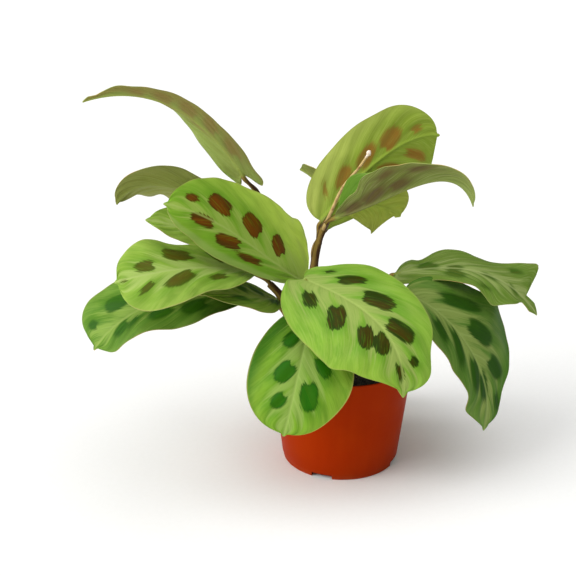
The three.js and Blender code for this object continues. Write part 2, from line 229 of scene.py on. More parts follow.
def leafSkin(name, plain, look):
    look = {**plain, **look, **dict(zip(toneNames, look["tones"].split()))}
    shade = look.get("shade", look["base"])
    paintedHighlight = look.get("paintedHighlight", shade)
    material, tree, shader, place = startMaterial(name, {"Specular IOR Level": look["shine"]})
    bladeMap = addNode(tree, "UVMap", {}, uv_map="blade")
    across, along, _ = addNode(tree, "SeparateXYZ", {0: bladeMap}).outputs
    veinMap = addNode(tree, "UVMap", {}, uv_map="veins")
    offset, count, _ = addNode(tree, "SeparateXYZ", {0: veinMap}).outputs
    side = addNode(tree, "Math", {0: across}, operation="ABSOLUTE")
    apart = addNode(tree, "Math", {0: offset}, operation="ABSOLUTE")

    stretch = addNode(tree, "Mapping", {"Vector": veinMap, "Scale": skinSettings["streakScale"]})
    streak = addNode(tree, "TexNoise", {
        "Vector": stretch, "Scale": 1, "Detail": 2, "Roughness": 0.55}, noise_dimensions="2D")
    fine = addNode(tree, "Math", {0: streak, 1: 0.5}, operation="SUBTRACT")
    broad = addNode(tree, "Mapping", {"Vector": veinMap, "Scale": skinSettings["patchScale"]})
    patches = addNode(tree, "TexNoise", {"Vector": broad, "Scale": 1, "Detail": 2},
                      noise_dimensions="2D")
    mottle = addNode(tree, "TexNoise", {
        "Vector": place, "Scale": skinSettings["mottleScale"], "Detail": 2})

    # 1 on a side vein and 0 half way to the next
    part = addNode(tree, "Math", {0: count}, operation="FRACT")
    swing = addNode(tree, "Math", {0: part, 1: 2, 2: -1}, operation="MULTIPLY_ADD")
    near = addNode(tree, "Math", {0: swing}, operation="ABSOLUTE")

    # the pale herringbone band is widest along the side veins and near the leaf's base
    inward = addNode(tree, "Math", {0: side, 1: skinSettings["bandTaper"], 2: look["bandReach"]},
                     operation="MULTIPLY_ADD")
    onVein = addNode(tree, "Math", {0: near, 1: skinSettings["bandOnVein"], 2: inward},
                     operation="MULTIPLY_ADD")
    atBase = addNode(tree, "MapRange", {
        "Value": along, "From Min": 0.2, "From Max": 0, "To Max": skinSettings["bandAtBase"]},
        interpolation_type="SMOOTHSTEP")
    whole = addNode(tree, "Math", {0: onVein, 1: atBase}, operation="ADD")
    band = addNode(tree, "Math", {0: fine, 1: skinSettings["bandTorn"], 2: whole},
                   operation="MULTIPLY_ADD")

    # leaf spots, with ragged ends where the fine veins run out and a rim of another tone
    depth = addNode(tree, "Attribute", {}, attribute_name="spot").outputs["Fac"]
    torn = addNode(tree, "Math", {0: fine, 1: look["spotTorn"], 2: depth}, operation="MULTIPLY_ADD")
    turning = addNode(tree, "Math", {0: part, 1: 0.6, 2: patches}, operation="MULTIPLY_ADD")
    spotTone = layCoats(tree, look["spotSecond"], [
        (look["spot"], turning, 0.56, 1, 1),
        (look["spotRim"], torn, 1.5, 0.1, 0.8),
        (look["deep"], streak, 0.52, 0.75, 0.35)])

    # painted light and shade: the shade tone lies over one side of the blade, before and after its pale
    # bands, a painted shadow where that side lies in the plant's own shade and painted light where it turns
    # from the lamps, and on the tinted underside the underside's own brownish tint; a pale strip along one
    # margin is a painted highlight, a sheen
    lean, rise, start, full = look["shadeWay"]
    leaning = addNode(tree, "Math", {0: along, 1: rise, 2: -rise / 2}, operation="MULTIPLY_ADD")
    shaded = addNode(tree, "Math", {0: across, 1: lean, 2: leaning}, operation="MULTIPLY_ADD")
    highlightSide, highlightStart, highlightFull = look["paintedHighlightWay"]
    highlightReach = addNode(tree, "Math", {0: across, 1: highlightSide}, operation="MULTIPLY")
    fading = addNode(tree, "Math", {0: side, 1: -0.25, 2: near}, operation="MULTIPLY_ADD")
    soft, thread = look["spotSoft"], look["threadShare"]
    colour = layCoats(tree, look["base"], [
        (look["second"], mottle, 0.3, 0.7, 1),
        (look["outer"], side, 0.45, 1, 0.75),
        # painted light and shade over one side, or the tinted underside's own tint
        (shade, shaded, start, full, 0.9),
        (look["deep"], patches, 0.45, 0.7, 0.3),
        (look["deep"], torn, -6, 0.5, look["haloShare"]),
        (look["band"], band, -0.35, 0.5, look["bandShare"]),
        (look["thread"], streak, 0.45, 0.8, thread),
        (look["deep"], streak, 0.5, 0.2, thread),
        # the same painted light and shade again, over the pale bands
        (shade, shaded, start, full, 0.4),
        # painted highlight, a pale sheen along one margin
        (paintedHighlight, highlightReach, highlightStart, highlightFull, 0.7),
        (look["vein"], fading, 0.78, 0.96, look["veinShare"]),
        (spotTone, torn, -soft, soft, look["spotShare"]),
        (look["vein"], apart, 1.3, 0.3, look["ribShare"]),
        (look["margin"], side, 0.955, 1, 0.5)])

    smoothest, roughest = look["gloss"]
    gloss = addNode(tree, "MapRange", {"Value": streak, "To Min": smoothest, "To Max": roughest})
    relief = addNode(tree, "Bump", {
        "Height": streak, "Distance": skinSettings["reliefDepth"], "Strength": 0.8})
    setInputs(tree, shader, {"Base Color": colour, "Roughness": gloss, "Normal": relief})
    return material


# looks of the upper faces and of the duller faces under the blades: the tones in the order of
# toneNames, and what differs from the plain face. Each look's tones are partly its leaves' own colour
# and partly painted light and shade, set lighter or darker for the light those leaves get. "shadeWay"
# says where the "shade" tone lies: its lean to a half, its rise to the tip, where it starts and is full.
# The way that goes with the painted highlight tone gives its half, left -1 or right 1, and where that
# tone starts and is full

toneNames = ("base", "second", "outer", "deep", "band", "thread", "vein", "margin",
             "spot", "spotSecond", "spotRim")
plainUpper = {"shine": 0.09, "gloss": (0.42, 0.58), "shadeWay": (0, 0, 1, 2), "paintedHighlightWay": (0, 1, 2),
              "bandReach": 0.16, "bandShare": 0.85, "threadShare": 0.35, "veinShare": 0.35,
              "ribShare": 0.6, "spotShare": 1, "spotSoft": 1.2, "spotTorn": 3.4, "haloShare": 0.5}
plainUnder = {**plainUpper, "shine": 0.06, "gloss": (0.55, 0.68), "bandReach": 0, "bandShare": 0.3,
              "threadShare": 0.5, "ribShare": 0.4, "spotSoft": 1.6, "spotTorn": 4.5, "haloShare": 0.3}
upperLooks = {
    # painted light on the right half near the base, and a painted highlight along the left margin
    "bright": {
        "tones": "80A832 749E26 78A02A 568C12 94AE4A 96B04C A0B65C A8A85C 683A00 523400 443000",
        "shade": "C0DC58", "shadeWay": (0.7, -0.9, 0.2, 0.95), "paintedHighlight": "8CA650", "paintedHighlightWay": (-1, 0.7, 0.85),
        "bandReach": 0.12, "bandShare": 0.8, "threadShare": 0.3, "spotSoft": 0.35},
    # painted light on the right half towards the tip
    "front": {
        "tones": "86AA42 7EA634 84AA3A 548A18 90A252 96B054 A0B45E 98A850 3C3400 263800 243C04",
        "shade": "8EB23C", "shadeWay": (0.6, 1, 0.4, 0.95), "bandReach": 0.14, "threadShare": 0.36,
        "spotSoft": 0.45, "haloShare": 0.65},
    "middle": {
        "tones": "90B044 80A434 90AE46 5A8A1C A2BA60 A2BA5C ACC06C AEAE64 50480A 4E540C 3E5608",
        "bandReach": 0.14, "bandShare": 0.8, "threadShare": 0.28, "spotShare": 0.95, "spotSoft": 0.5},
    # painted shade, dark green, on the right half towards the base
    "low": {
        "tones": "78A02C 729C28 78982E 36700A 84A048 82A440 92AC56 B8AC60 2A6002 246204 184800",
        "shade": "326608", "shadeWay": (1.6, -1, 0.95, 1.5), "bandReach": 0.3, "bandShare": 0.9,
        "veinShare": 0.6, "threadShare": 0.3, "spotSoft": 0.7},
    # darker tones for leaves in shade, with a painted shadow on the left half near the base
    "shaded": {
        "tones": "64882A 588022 688A34 30640C 7E9A40 7C9A40 8CA450 9C9656 2A560A 34640E 244E08",
        "shade": "183E04", "shadeWay": (-0.5, -0.5, 0.42, 0.7)},
    "tucked": {
        "tones": "74962C 6E8E28 789236 3A6414 8AA04C 7E9640 8EA24C A0904C 2E5A12 386218 2E5A12",
        "bandShare": 0.8, "spotShare": 0.9, "haloShare": 0.4},
    # painted shadow on the left half, where the blade above shades it
    "arching": {
        "tones": "68883A 5A7C2C 5E7E30 2E5E0C 82944A 7A9246 8EA258 948C52 24480A 284E08 224406",
        "shade": "346A0C", "shadeWay": (-1, 0, 0.6, 1.15), "bandReach": 0.22, "bandShare": 0.9,
        "veinShare": 0.55, "threadShare": 0.4},
    "high": {
        "tones": "6C8236 5E7A28 66802E 4C701A 8A9A56 8C9E5A 98A666 8E8A58 385A0C 44560E 305208",
        "bandReach": 0.24, "threadShare": 0.5, "spotShare": 0.9, "haloShare": 0.4},
    "folded": {
        "tones": "608A28 587F22 6A922E 4A721A 729638 7A9E44 84A64E 8CA050 3E5E12 3A5A10 3A5A10",
        "bandReach": 0, "bandShare": 0.5, "ribShare": 0.5, "spotShare": 0.5, "spotSoft": 1.6,
        "haloShare": 0.4},
}
underLooks = {
    # lighter tones for light through the blade, and painted light on the right half near the base
    "translucent": {
        "tones": "8CA03A 849A32 8EA242 788C2C 829E34 A2B054 88A03C 8C9240 8A5A22 8A642A 86762E",
        "shade": "A8B458", "shadeWay": (0.8, -0.8, 0.3, 0.95), "bandShare": 0.4, "ribShare": 0.3,
        "spotShare": 0.85, "spotSoft": 0.8},
    # a lighter copy of translucent: painted light through the blade
    "backlit": {
        "tones": "A6B448 9EAC3E ACB652 86942E 92AC3E B2BC60 94A644 8C9240 8A5A22 8A642A 86762E",
        "bandShare": 0.4, "ribShare": 0.3, "threadShare": 0.4, "spotShare": 0.85, "spotSoft": 1.2},
    # painted light on the left half towards the tip
    "purple": {
        "tones": "7E8A44 748038 8A9A4C 605C30 788A3C A2A272 8E9454 625C38 604C2E 6A5642 6A6038",
        "shade": "86984E", "shadeWay": (0.2, -0.5, 0.1, -0.25), "threadShare": 0.65, "spotShare": 0.8,
        "spotSoft": 1.8, "haloShare": 0.45},
    "olive": {
        "tones": "949C4C 889242 949A54 787E38 92A04E A6AC6A 9CA65A 747440 8A8454 8E885A 8A8A50",
        "spotShare": 0.5},
    # its shade tone is no light but the underside's own brownish tint, on the left half towards the tip
    "tinted": {
        "tones": "96A854 90A24C 98AC58 868848 96A854 AAB26E A2AC54 747640 8E7640 92744C 90884E",
        "shade": "8E8442", "shadeWay": (-1.2, 0.8, 0.45, 1), "spotShare": 0.7, "haloShare": 0.4},
    # a darker copy of olive: painted shade for a small leaf in the plant's shade
    "shadedOlive": {
        "tones": "78823E 707A36 7C8444 787E38 92A04E A6AC6A 9CA65A 747440 8A8454 8E885A 8A8A50",
        "spotShare": 0.5},
}
upperSkins = {name: leafSkin("leafUpperSkin_" + name, plainUpper, look)
              for name, look in upperLooks.items()}
underSkins = {name: leafSkin("leafUnderSkin_" + name, plainUnder, look)
              for name, look in underLooks.items()}


def edgeSkin():
    # the leaf's cut edge, a hair-thin dry yellowish line
    material, tree, shader, place = startMaterial("leafMarginSkin", {"Roughness": 0.6})
    patches = addNode(tree, "TexNoise", {"Vector": place, "Scale": 70, "Detail": 2})
    colour = layCoats(tree, "8FA24C", [("B99C58", patches, 0.4, 0.62, 1)], "LINEAR")
    setInputs(tree, shader, {"Base Color": colour})
    return material


marginSkin = edgeSkin()
print("leaf skins made")

# blades: a rib curve, the facing at its base and tip, and for the left and right half (seen from
# the base towards the tip, upper face up) the half width, the outline [place of the widest point,
# fullness at the base, fullness at the tip], the fold up from the midrib and the curl to the
# margin in degrees, each [at base, at tip], the wave of the margin [height, waves, phase], bumps
# of the outline [place, height, spread] and how far the base corner reaches back past the stalk.
# A spot is (t, s, t, s, width): its inner and outer end in percent of the blade's length and half
# width, and its own width in mm

plainHalf = {"outline": (0.45, 0.5, 0.55), "fold": (6, 4), "curl": (-18, -18), "wave": (1, 2, 0.1),
             "bulges": (), "lobe": 0}


def half(width, **extra):
    return {**plainHalf, "width": width, **extra}


blades = {}
blades["leaf_front"] = {
    "rib": [(-28, -35.5, 146.3), (0, -48, 138), (37, -74, 130), (34, -84, 84)],
    "facing": [(-0.05, -0.5, 0.85), (0.25, -0.8, 0.5)],
    "left": half(35, outline=(0.5, 0.45, 0.52), curl=(-22, -22), lobe=2,
                 bulges=[(0.1, -5, 0.08), (0.3, 2, 0.1), (0.62, -1, 0.1), (0.79, -4.5, 0.08),
                         (0.91, 1.5, 0.05)]),
    "right": half(48, outline=(0.46, 0.42, 0.95), curl=(-18, -10), wave=(1, 2, 0.4), lobe=9,
                  bulges=[(0.33, -3, 0.15), (0.5, -2, 0.1), (0.66, 1.5, 0.08), (0.84, 4, 0.07)]),
    "spots": [(10, -58, 14, -66, 1.6), (18, -33, 31, -56, 7), (35, -24, 52, -46, 11),
              (56, -14, 71, -45, 10.5), (79, -33, 83, -50, 5), (13, 24, 18, 47, 6.5),
              (28, 20, 38, 52, 12.5), (49, 19, 63, 39, 10.5), (58, 13, 72, 22, 10.5), (80, 5, 90, 8, 4.5)],
    "tail": 0.03, "dripTip": 7, "tuck": -2.5, "skins": ("front", "olive"),
}
blades["leaf_front_low"] = {
    "rib": [(-20, -38, 128), (-29, -62, 110), (-32, -80, 91), (-41, -86, 58)],
    "facing": [(-0.1, -0.7, 0.7), (-0.05, -0.95, 0.3)],
    "left": half(34, outline=(0.5, 0.5, 0.5), curl=(-16, -18), bulges=[(0.6, 2, 0.15)]),
    "right": half(32.5, outline=(0.6, 0.6, 0.42), curl=(-22, -22), wave=(1, 2, 0.4)),
    "spots": [(25, 26, 36, 40, 8), (48, 16, 62, 37, 11), (71, 18, 81, 40, 8), (40, -32, 53, -52, 8),
              (59, -22, 78, -42, 11), (18, -25, 30, -50, 8)],
    "skins": ("low", "olive"),
}
blades["leaf_left_big"] = {
    "rib": [(-25, -11, 135), (-52, -33, 156), (-77, -52, 194), (-114, -58, 202)],
    "facing": [(0.1, -0.72, 0.65), (-0.05, -0.62, 0.8)],
    "left": half(22, outline=(0.62, 1.1, 0.4), curl=(-42, -42), bulges=[(0.4, -3, 0.2), (0.8, -1.5, 0.1)]),
    "right": half(44, outline=(0.38, 0.2, 0.56), curl=(-22, -14), wave=(1, 2, 0.4),
                  bulges=[(0.05, 11, 0.1), (0.52, -3, 0.18)]),
    "spots": [(83, 38, 89, 42, 5), (64, 34, 77, 48, 12), (43, 25, 55, 43, 14), (24, 18, 32, 41, 12),
              (72, -10, 85, -22, 8), (53, -26, 69, -45, 8), (36, -45, 53, -57, 4)],
    "skins": ("bright", "olive"),
}
blades["leaf_left_middle"] = {
    "rib": [(-59, -26, 147), (-84, -56, 164), (-112, -78, 167), (-142, -84, 160)],
    "facing": [(0.1, -0.45, 0.85), (-0.1, -0.6, 0.8)],
    "left": half(27, outline=(0.8, 0.9, 0.28), wave=(1, 1.6, 0.2), bulges=[(0.52, -3.5, 0.12)]),
    "right": half(28, outline=(0.72, 0.7, 0.42), wave=(3, 2, 0.75)),
    "spots": [(47, 46, 66, 50, 12), (75, 22, 86, 27, 8), (53, -15, 73, -47, 8), (79, -25, 88, -55, 4),
              (31, -45, 45, -50, 4), (26, 30, 34, 66, 7), (93, -3, 96, -7, 2)],
    "skins": ("middle", "olive"),
}
blades["leaf_left_low"] = {
    "rib": [(-58, -16, 128), (-96, -42, 146), (-140, -62, 141), (-162, -62, 107)],
    "facing": [(0.1, -0.4, 0.9), (-0.35, -0.65, 0.65)],
    "left": half(23, outline=(0.55, 0.9, 0.65), wave=(2, 2.6, 0.2),
                 bulges=[(0.92, 4, 0.06), (0.7, -3, 0.1), (0.44, 2.5, 0.08)]),
    "right": half(34, outline=(0.86, 1, 0.26), wave=(2, 1.6, 0.5)),
    "spots": [(71, 40, 82, 46, 11), (91, 32, 93, 52, 5), (76, -18, 85, -43, 6), (70, -24, 78, -45, 3),
              (53, -36, 66, -46, 7), (35, -50, 49, -53, 10), (48, 30, 60, 46, 9), (26, 30, 36, 50, 9),
              (15, -30, 26, -50, 6)],
    "skins": ("shaded", "olive"), "slot": "leaf_deep",
}
blades["leaf_left_tucked"] = {
    "rib": [(-45, -10, 123), (-57, -35, 133), (-78, -50, 143), (-100, -54, 143)],
    "facing": [(0.05, -0.45, 0.9), (0, -0.5, 0.85)],
    "left": half(15.5, outline=(0.33, 1.1, 1.4)),
    "right": half(24),
    "spots": [(20, 15, 32, 52, 8), (48, -35, 63, -20, 4), (10, -30, 20, -50, 6), (42, 20, 55, 50, 8),
              (65, 20, 76, 45, 6)],
    "skins": ("tucked", "olive"), "slot": "leaf_deep",
}
blades["leaf_left_under"] = {
    "rib": [(-56, -2, 150), (-80, -13, 168), (-109, -20, 178), (-130, -28, 184)],
    "facing": [(0.1, -0.3, 0.9), (0, -0.5, 0.85)],
    "left": half(15.5),
    "right": half(23, outline=(0.6, 0.5, 0.8), wave=(1, 2, 0.4)),
    "spots": [], "skins": ("middle", "olive"),
}
blades["leaf_left_back"] = {
    "rib": [(-68, 14, 169), (-94, 6, 194), (-136, -4, 215), (-152, -8, 189)],
    "facing": [(0.2, 0.6, 0.8), (-0.4, 0.5, 0.8)],
    "left": half(14.5, outline=(0.7, 0.6, 0.6), fold=(34, 30), curl=(10, 10)),
    "right": half(35, outline=(0.45, 0.5, 0.6), fold=(10, 4), curl=(10, 10), wave=(2, 3.4, 0.3)),
    "spots": [], "skins": ("bright", "olive"), "slot": "leaf_underside",
}
blades["leaf_left_tall"] = {
    "rib": [(-68, -6.7, 209.5), (-82, -14, 234), (-112, -30, 277), (-163, -40, 261)],
    "facing": [(0.3, 0.9, 0.2), (0.1, 0.3, 0.95)],
    "left": half(9, outline=(0.25, 0.15, 0.6), fold=(30, 34), curl=(10, 10), lobe=16,
                 bulges=[(0.02, 1.5, 0.035), (0.1, -1, 0.04), (0.82, 2.5, 0.06)]),
    "right": half(17, outline=(0.3, 0.45, 0.9), fold=(0, 45), curl=(10, 10), wave=(1, 2, 0.4), lobe=10,
                  bulges=[(0.62, 4, 0.07)]),
    "spots": [(12, -30, 24, -70, 6), (26, -25, 38, -70, 7), (40, -20, 52, -60, 7), (54, -20, 66, -60, 6),
              (68, -20, 78, -50, 4), (30, 10, 42, 25, 3), (48, 10, 60, 40, 5)],
    "skins": ("bright", "tinted"), "slot": "leaf_underside",
}
blades["leaf_right_tall"] = {
    "rib": [(-14.5, 18, 170.5), (6, 22, 197), (38, 28, 232), (66.5, 30, 228.5)],
    "facing": [(0.1, 0.97, 0.1), (0.1, 0.97, 0.1)],
    "left": half(29, outline=(0.62, 0.75, 0.16), curl=(8, 8), lobe=6,
                 bulges=[(0.03, 3, 0.025), (0.94, 6, 0.06)]),
    "right": half(29.5, outline=(0.5, 0.33, 0.52), fold=(12, 0), curl=(8, 8), wave=(1, 2, 0.4), lobe=1,
                  bulges=[(0.4, -1.5, 0.14), (0.82, 3.5, 0.11)]),
    "spots": [(15, 35, 20, 60, 2.5), (24, 16, 38, 42, 9), (42, 16, 59, 37, 9), (62, 14, 76, 42, 11),
              (83, 22, 88, 36, 5), (73, -18, 88, -60, 8), (50, -20, 64, -50, 10), (28, -20, 40, -50, 10)],
    "dripTip": 0.8, "skins": ("bright", "translucent"), "slot": "leaf_underside",
}
blades["leaf_right_folded"] = {
    "rib": [(-6, -5, 180), (26, -12, 188), (68, -22, 231), (81, -30, 193)],
    "facing": [(0.05, 0.1, 1), (0.1, 0, 1)],
    "left": half(23, outline=(0.42, 0.75, 0.6), fold=(88, -20), curl=(5, 5), bulges=[(0.18, 6, 0.12)]),
    "right": half(24, outline=(0.36, 0.4, 0.5), fold=(60, 34), curl=(5, 5), wave=(1, 2, 0.4),
                  bulges=[(0.08, -7, 0.1), (0.2, -6, 0.07)]),
    "spots": [(5, 20, 20, 32, 6), (20, 24, 38, 38, 8), (40, 22, 54, 34, 7), (36, 70, 50, 85, 4),
              (56, 66, 68, 80, 5), (30, -30, 42, -60, 5)],
    "skins": ("folded", "purple"), "slot": "leaf_underside",
}
blades["leaf_right_back"] = {
    "rib": [(-3, 3, 180), (11, 6, 187), (28, 9, 187), (39, 10, 176)],
    "facing": [(0.1, 0.9, 0.2), (0.2, 0.9, 0.1)],
    "left": half(21, outline=(0.72, 1.2, 0.9), curl=(8, 8), bulges=[(0.78, 4, 0.08), (0.92, -5, 0.05)]),
    "right": half(18, outline=(0.8, 0.6, 0.5), curl=(8, 8), wave=(2, 2, 0.4)),
    "spots": [], "skins": ("bright", "backlit"), "slot": "leaf_underside",
}
blades["leaf_right_high"] = {
    "rib": [(36.5, 4, 137), (70, -1, 146), (109, -8, 149), (133, -12, 112)],
    "facing": [(0, -0.2, 1), (0.2, -0.25, 0.95)],
    "left": half(27, outline=(0.88, 0.8, 0.2), fold=(4, 14), curl=(-10, -5), wave=(6, 2, 0.62),
                 bulges=[(0.05, 15, 0.07), (0.56, -6, 0.15), (0.7, -2, 0.08), (0.84, 7, 0.045)]),
    "right": half(19, outline=(0.65, 0.7, 0.4), fold=(-10, -14), curl=(-15, -25), wave=(3, 1.8, 0.5), lobe=9,
                  bulges=[(0.06, 4, 0.06), (0.33, -4, 0.13), (0.52, -3.5, 0.1), (0.69, 2, 0.06)]),
    "spots": [(14, -32, 27, -6, 7), (33, 8, 42, -5, 6), (55, 1, 64, 10, 3), (55, 68, 62, 62, 2),
              (73, -5, 81, 27, 3), (71, -62, 77, -66, 4), (32, 30, 44, 50, 6)],
    "tail": 0.14, "dripTip": 5.5, "skins": ("high", "olive"),
}
blades["leaf_right_low"] = {
    "rib": [(42, -24, 131), (68, -37, 127), (106, -36, 80), (96, -40, 38)],
    "facing": [(0.2, -0.5, 0.85), (0.6, -0.75, 0.25)],
    "left": half(37, outline=(0.38, 0.46, 0.9), curl=(-20, -20), wave=(2, 2.6, 0.2), lobe=4,
                 bulges=[(0.27, 6, 0.1), (0.42, 9, 0.08), (0.57, 11, 0.12), (0.8, -5, 0.08),
                         (0.93, 2.5, 0.04)]),
    "right": half(21, outline=(0.4, 0.5, 0.6), curl=(-20, -20), wave=(2, 2.6, 0.5),
                  bulges=[(0.84, 6, 0.09), (0.42, -2, 0.08), (0.28, 2.5, 0.08)]),
    "spots": [(17, -32, 37, -62, 10), (37, -25, 54, -42, 13), (60, -27, 72, -57, 11), (79, -50, 88, -82, 4),
              (30, 10, 53, 64, 5), (52, 12, 72, 50, 7), (63, 1, 80, 15, 7), (20, 35, 33, 60, 6)],
    "skins": ("arching", "olive"), "slot": "leaf_deep",
}
blades["leaf_rear_young"] = {
    "rib": [(-5, 28, 173), (-8, 40, 184), (-16, 55, 193), (-29, 66, 197)],
    "facing": [(0.3, 0.5, 0.85), (0.3, 0.5, 0.9)],
    "left": half(11, outline=(0.6, 0.5, 0.35), fold=(40, 40)),
    "right": half(10, outline=(0.6, 0.5, 0.25), fold=(40, 40), wave=(1, 2, 0.4)),
    "skins": ("shaded", "shadedOlive"), "slot": "leaf_deep",
}
blades["leaf_rear_right"] = {
    "rib": [(7, 30, 116), (30, 60, 107), (53, 85, 78), (62, 95, 32)],
    "facing": [(0.2, 0.5, 0.85), (0.3, 0.8, 0.4)],
    "left": half(26),
    "right": half(26, wave=(1, 2, 0.4)),
    "skins": ("front", "purple"),
}
blades["leaf_rear_middle"] = {
    "rib": [(-15, 30, 126), (-15, 60, 121), (-14, 85, 92), (-14, 90, 48)],
    "facing": [(0, 0.5, 0.85), (0, 0.8, 0.4)],
    "left": half(22),
    "right": half(22, wave=(1, 2, 0.4)),
    "skins": ("bright", "purple"),
}
blades["leaf_rear_left"] = {
    "rib": [(-34, 32, 135), (-51, 56, 164), (-78, 80, 174), (-102, 95, 155)],
    "facing": [(-0.2, 0.5, 0.85), (-0.3, 0.8, 0.4)],
    "left": half(22),
    "right": half(22, wave=(1, 2, 0.4)),
    "skins": ("bright", "purple"),
}
bladeMesh = {
    "columns": 56, "rows": 96, "ribPoints": 401,
    "crowding": 0.6,          # how much closer the columns lie at the midrib
    "smoothAngle": 50,
    "thickness": 0.42,
    "tail": 0.02, "dripTip": 3, "tipTaper": 90,  # a drawn-out tip, unless a blade has its own
    "leastWidth": (1.6, 0.4),                    # half width where the outline closes, base and tip
    "veinSlant": 0.27, "veinSweep": 0.95,        # how far the side veins lean to the tip
    "lobeRun": 7, "lobeEnd": 0.3,                # a base corner is full 7 mm from the midrib
    "pleat": 0.34,            # how high the blade swells between two side veins
    "groove": 0.45, "grooveWidth": 1.3,          # the midrib lies in a groove of the upper face
    "ridge": 0.85, "ridgeAtTip": 0.25, "ridgeWidth": (1.25, 0.7),  # and stands out below
    "ripple": 1.1, "ripplesPerMm": 0.09,         # how far the blade lies out of true
}
spotShape = {
    "grow": (0.8, 0.3),       # what its soft end and side add in mm
    "squareness": 2.6,
    "wedge": 5, "wedgeFrom": 0.4, "wedgeWidth": 0.4,  # the pale band runs into the inner end
    "farthest": -12.0,        # the depth far from every spot, in mm
}
# a plain row of spots, and the side veins where no spots tell their places: the least gap between
# two rows of spots and between two veins, and where the rest of the veins start, end and step
plainRow = {"first": 0.2, "step": 0.15, "stagger": 0.03, "sizes": (0.6, 0.95, 1, 0.85, 0.5),
            "ends": (0.06, 0.065), "inner": 0.22, "outer": (0.3, 0.5), "widthShare": 0.3, "widest": 12}
veinRow = {"lone": 0.25, "least": 0.07, "clear": 0.08, "from": -0.5, "stepBefore": 0.17,
           "to": 1.1, "stepAfter": 0.16}


def measured(curve):
    # a curve with the length up to each point and the heading there
    lengths = [0.0]
    for a, b in zip(curve, curve[1:]):
        lengths.append(lengths[-1] + (b - a).length)
    heads = [curve[1] - curve[0]] + [b - a for a, b in zip(curve, curve[2:])] + [curve[-1] - curve[-2]]
    return curve, lengths, [head.normalized() for head in heads]


def ribTable(points):
    return measured(interpolate_bezier(*(Vector(p) for p in points), bladeMesh["ribPoints"]))


def alongTable(table, t):
    curve, lengths, heads = table
    wanted = t * lengths[-1]
    i = limit(bisect_left(lengths, wanted) - 1, 0, len(curve) - 2)
    share = (wanted - lengths[i]) / (lengths[i + 1] - lengths[i])
    return curve[i].lerp(curve[i + 1], share), heads[i].lerp(heads[i + 1], share).normalized()


def halfWidthAt(blade, side, t):
    tail = blade.get("tail", bladeMesh["tail"])
    widest, base, tip = side["outline"]
    place = min(t / (1 - tail), 1)
    away = (widest - place) / widest if place < widest else (place - widest) / (1 - widest)
    full = max(1 - away * away, 0) ** (base if place < widest else tip)
    bulge = sum(rise * exp(-((t - middle) / spread) ** 2) for middle, rise, spread in side["bulges"])
    drip = min(blade.get("dripTip", bladeMesh["dripTip"]), bladeMesh["tipTaper"] * (1 - t))
    least = mix(*bladeMesh["leastWidth"], t) + t ** 3 * drip
    return max(side["width"] * full + bulge * min(1, 3 * full), least)


def veinOrigin(t, s):
    # where the side vein through this place leaves the midrib
    return t - abs(s) * (bladeMesh["veinSlant"] + bladeMesh["veinSweep"] * t * (1 - t))


def spotsOf(blade):
    # the blade's own spots, or a row of five on each side, as on most blades of this plant
    if "spots" in blade:
        return [(*(place / 100 for place in spot[:4]), spot[4]) for spot in blade["spots"]]
    spots = []
    for sign, side in ((-1, blade["left"]), (1, blade["right"])):
        for k, size in enumerate(plainRow["sizes"]):
            t = plainRow["first"] + plainRow["step"] * k + (plainRow["stagger"] if sign > 0 else 0)
            before, after = plainRow["ends"]
            spots.append((t - before * size, sign * plainRow["inner"],
                          t + after * size, sign * mix(*plainRow["outer"], size),
                          min(plainRow["widthShare"] * side["width"], plainRow["widest"]) * size))
    return spots


def sideVeins(spots, sign):
    # side veins run midway between neighbouring spots
    origins = sorted(veinOrigin((a + c) / 2, (b + d) / 2) for a, b, c, d, _ in spots if (b + d) * sign > 0)
    veins = [(a + b) / 2 for a, b in zip(origins, origins[1:]) if b - a > veinRow["least"]]
    veins = veins or [veinRow["lone"]]
    veins = [a for a, b in zip(veins, veins[1:] + [9]) if b - a > veinRow["clear"]]
    while veins[0] > veinRow["from"]:
        veins.insert(0, veins[0] - veinRow["stepBefore"])
    while veins[-1] < veinRow["to"]:
        veins.append(veins[-1] + veinRow["stepAfter"])
    return veins


def phaseAt(veins, origin):
    i = limit(bisect_left(veins, origin) - 1, 0, len(veins) - 2)
    return i + (origin - veins[i]) / (veins[i + 1] - veins[i])


def spotDepth(x, y, spots):
    # depth in mm inside the nearest spot, below 0 outside
    deepest = spotShape["farthest"]
    power = spotShape["squareness"]
    for x0, y0, x1, y1, width in spots:
        dx, dy = x1 - x0, y1 - y0
        length = hypot(dx, dy)
        dx, dy = dx / length, dy / length
        px, py = x - (x0 + x1) / 2, y - (y0 + y1) / 2
        reach, wide = length / 2 + spotShape["grow"][0], width / 2 + spotShape["grow"][1]
        u, v = (px * dx + py * dy) / reach, (py * dx - px * dy) / wide
        depth = (1 - (abs(u) ** power + abs(v) ** power) ** (1 / power)) * min(reach, wide)
        inward = max(0, -u - spotShape["wedgeFrom"])
        depth -= spotShape["wedge"] * inward * max(0, 1 - abs(v) / spotShape["wedgeWidth"])
        deepest = max(deepest, depth)
    return deepest


